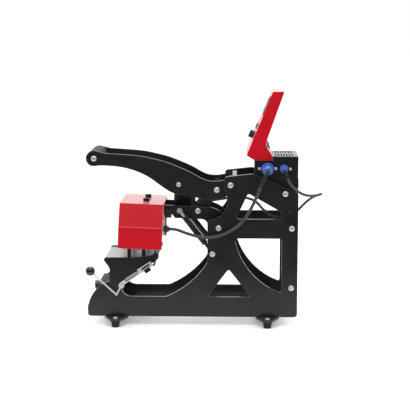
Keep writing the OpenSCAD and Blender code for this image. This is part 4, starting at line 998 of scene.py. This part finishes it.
def on_face(s, right, out):
    """A point on the sloping face: s down from its top, right as the operator sees it, out from it."""
    return HEAD_TOP + DOWN_FACE * s + Vector((0, -right, 0)) + OUT_FACE * out


FACE_TURN = Matrix((Vector((0, -1, 0)), -DOWN_FACE, OUT_FACE)).transposed().to_euler()

# How far down the face things sit, with the lamps level with the button, and what clears the window
READOUTS_DOWN, BUTTON_DOWN, DIAL_DOWN = (26.5, 49.0), 95.4, 118.8
LAMPS_ASIDE = 24
OVER_WINDOW = 2.02


def turned_on_face(spin):
    return (FACE_TURN.to_matrix() @ Matrix.Rotation(spin, 3, "Z")).to_euler()


def face_spot(s, right=0.0, out=0.0, turn=FACE_TURN, size=1.0):
    """A place on the sloping face, for one copy."""
    return on_face(s, right, out), turn, size


SEGMENTS = {  # place in half digits (right, up) and whether it stands
    "a": (0, 1, False), "b": (1, 0.5, True), "c": (1, -0.5, True), "d": (0, -1, False),
    "e": (-1, -0.5, True), "f": (-1, 0.5, True), "g": (0, 0, False),
}
FIGURES = {"0": "abcdef", "1": "bc", "5": "acdfg", "8": "abcdefg"}
DIGIT_PITCH, DIGIT_HALF_W, DIGIT_HALF_H = 13.0, 3.5, 6.4


def readout():
    """Two generic number readouts behind the window."""
    half_flat, half_bar, half_w = 2.2, 2.9, 0.7
    bar = cut_plate("digit_bar", [(-half_bar, 0), (-half_flat, half_w), (half_flat, half_w), (half_bar, 0),
                                  (half_flat, -half_w), (-half_flat, -half_w)], 0.06)
    for s, text, finish, name in ((READOUTS_DOWN[0], "180", LIT_RED, "heat_readout"),
                                  (READOUTS_DOWN[1], "015", LIT_GREEN, "time_readout")):
        lit, dark = [], []
        for k, figure in enumerate(text):
            centre = 6 + k * DIGIT_PITCH
            for label, (right, up, stands) in SEGMENTS.items():
                spot = face_spot(s - up * DIGIT_HALF_H, centre + right * DIGIT_HALF_W, OVER_WINDOW,
                                 turned_on_face(math.pi / 2 if stands else 0))
                (lit if label in FIGURES[figure] else dark).append(spot)
        copies(name, bar, lit, "frame", "display_window", finish)
        copies(name + "_unlit", bar, dark, "frame", "display_window", UNLIT)
    drop(bar)


def face_legends():
    """Scale marks round the dial, level marks by the readouts, and the lamps."""
    mark = cut_plate("scale_mark", [(-0.35, -1.5), (0.35, -1.5), (0.35, 1.5), (-0.35, 1.5)], 0.06)
    spots = []
    scale_r, first, step = 13.6, -135, 27
    for k in range(11):
        a = math.radians(first + step * k)
        spots.append(face_spot(DIAL_DOWN - scale_r * math.cos(a), scale_r * math.sin(a), 0.02,
                               turned_on_face(-a), (1.0, 1.35 if k % 5 == 0 else 0.8, 1.0)))
    copies("dial_scale_marks", mark, spots, "frame", "silver_deck_paint", LEGEND)
    dash = [face_spot(s, -38 + 7 * k, OVER_WINDOW, turned_on_face(math.pi / 2), (1.0, 1.4, 1.0))
            for s in READOUTS_DOWN for k in range(4)]
    copies("readout_level_marks", mark, dash, "frame", "silver_deck_paint", LEGEND)
    drop(mark)
    lamp = turned("lamp_dome", [(0, -0.4), (2.0, -0.4), (2.0, 0.8), (1.5, 1.6), (0.7, 2.0), (0, 2.05)], 24)
    spots = [face_spot(BUTTON_DOWN, side * LAMPS_ASIDE) for side in (-1, 1)]
    copies("heat_lamp", lamp, spots[:1], "frame", "display_window", LIT_RED)
    copies("ready_lamp", lamp, spots[1:], "frame", "display_window", LIT_GREEN)
    drop(lamp)
    ring = turned("lamp_collar", [(2.15, -0.3), (3.2, -0.3), (3.2, 0.5), (2.9, 0.8), (2.15, 0.8)], 28)
    copies("lamp_collars", ring, spots, "frame", "zinc_steel")
    drop(ring)


def button_collar():
    """The raised ring round the button."""
    ring = turned("collar", [(6.6, -0.3), (9.2, -0.3), (9.2, 0.6), (8.6, 1.5), (7.2, 1.7), (6.6, 1.2)], 44)
    copies("button_collar", ring, [face_spot(BUTTON_DOWN)], "frame", "gloss_black_plastic")
    drop(ring)


def dial_dress():
    """Flutes round the dial, its skirt and its pointer line."""
    dress("dial_flutes", GRIP_FLUTES, [face_spot(DIAL_DOWN, out=6.6)], "dial", "black_plastic",
          Count=28, Ring_Radius=0.0089, Rib_Radius=0.0005, Rib_Length=0.0085)
    line = cut_plate("pointer_line", [(-0.45, 1.5), (0.45, 1.5), (0.45, 8.0), (-0.45, 8.0)], 0.2)
    copies("dial_pointer", line, [face_spot(DIAL_DOWN, out=11.58)], "dial", "silver_deck_paint", LEGEND)
    drop(line)
    skirt = turned("skirt", [(6.0, 0.65), (10.2, 0.65), (10.2, 1.2), (9.2, 2.2), (6.0, 2.2)], 44)
    copies("dial_skirt", skirt, [face_spot(DIAL_DOWN)], "dial", "black_plastic")
    drop(skirt)


def neck_seal():
    """The rubber strip in the crease between the head and its cover."""
    top, foot = Vector((181.6, 0, 449.0)), Vector((189.1, 0, 436.7))
    along = (foot - top).normalized()
    off = Vector((-along.z, 0, along.x))
    strip = bmesh.new()
    rings = []
    length = (foot - top).length
    bulge, points = 2.6, 13
    for y, ease in ((-62.0, 0.75), (-61.2, 1.0), (61.2, 1.0), (62.0, 0.75)):
        ring = []
        for k in range(points):
            a = math.pi * k / (points - 1)
            p = top.lerp(foot, 0.5) - along * (length / 2 * math.cos(a)) * ease
            p += off * (bulge * math.sin(a) ** 0.6 * ease)
            ring.append(strip.verts.new((p.x * MM, y * MM, p.z * MM)))
        rings.append(ring)
    for a, b in zip(rings, rings[1:]):
        for k in range(points):
            n = (k + 1) % points
            strip.faces.new((a[k], a[n], b[n], b[k]))
    strip.faces.new(rings[0])
    strip.faces.new(rings[-1][::-1])
    piece = show("neck_seal", plain_mesh("neck_seal", strip))
    settle(piece, "frame", FINISHES["black_rubber"])


readout()
face_legends()
button_collar()
dial_dress()
neck_seal()


# ---- studio

def mix_shaders(tree, factor, a, b):
    mix = add(tree, "ShaderNodeMixShader", Fac=factor)
    tree.links.new(a, mix.inputs[1])
    tree.links.new(b, mix.inputs[2])
    return mix.outputs["Shader"]


def unlit_front(f):
    """The floor in front of the bench stays dark in reflections, as an unlit room would."""
    tree = f.tree
    near = spread(tree, axis_of(tree, place(tree), "Y"), -0.12, -0.75)
    ray = tree.nodes.new("ShaderNodeLightPath")
    dark = add(tree, "ShaderNodeEmission", Color=(0.05, 0.05, 0.055, 1))
    mixed = mix_shaders(tree, times(tree, near, ray.outputs["Is Glossy Ray"]), f.shader.outputs["BSDF"],
                        dark.outputs["Emission"])
    tree.links.new(mixed, tree.nodes["Material Output"].inputs["Surface"])


def studio():
    scene = bpy.context.scene
    scene.view_settings.view_transform = "Standard"
    scene.view_settings.look = "None"
    world = bpy.data.worlds.new("pale_studio")
    scene.world = world
    world.use_nodes = True
    tree = world.node_tree
    tree.nodes.clear()
    where = tree.nodes.new("ShaderNodeTexCoord").outputs["Generated"]
    split = add(tree, "ShaderNodeSeparateXYZ", Vector=where)
    back = spread(tree, split.outputs["Y"], -0.5, 0.75, 0.03, 1.6)
    above = spread(tree, split.outputs["Z"], 0.15, 0.9, 0.0, 1.0)
    level_back = times(tree, back, calc(tree, "SUBTRACT", 1.0, above))
    level = calc(tree, "ADD", level_back, times(tree, above, 1.15))
    light = add(tree, "ShaderNodeBackground", Color=(1, 1, 1, 1), Strength=level)
    seen = add(tree, "ShaderNodeBackground", Color=(1, 1, 1, 1), Strength=1.0)
    ray = tree.nodes.new("ShaderNodeLightPath")
    add(tree, "ShaderNodeOutputWorld", Surface=mix_shaders(
        tree, ray.outputs["Is Camera Ray"], light.outputs["Background"], seen.outputs["Background"]))
    for name, at, aim, size, power in (
            ("overhead_softbox", (0.0, 0.1, 2.2), (0, 0, 0.3), 1.8, 34),
            ("front_softbox", (-1.3, -2.2, 1.5), (0, 0, 0.25), 1.2, 9)):
        lamp = bpy.data.lights.new(name, "AREA")
        lamp.shape = "SQUARE"
        lamp.size = size
        lamp.energy = power
        box = show(name, lamp)
        box.location = at
        box.rotation_euler = (Vector(aim) - Vector(at)).to_track_quat("-Z", "Y").to_euler()
        box.visible_glossy = name != "front_softbox"
    floor_mesh = bpy.data.meshes.new("pale_floor")
    floor_mesh.from_pydata([(-20, -20, 0), (20, -20, 0), (20, 20, 0), (-20, 20, 0)], [], [(0, 1, 2, 3)])
    floor = show("pale_floor", floor_mesh)
    f = Finish("pale_floor", Roughness=0.8, Specular_IOR_Level=0.1)
    paper = f.spread(f.clouds(3.0, 3.0), 0.3, 0.7)
    f.feed("Base Color", f.blend(paper, (0.94, 0.94, 0.94), (0.96, 0.96, 0.96)))
    f.feed("Emission Color", f.blend(paper, (1.0, 1.0, 1.0), (0.98, 0.98, 0.98)))
    f.shader.inputs["Emission Strength"].default_value = 0.22
    unlit_front(f)
    floor.data.materials.append(f.material)


studio()
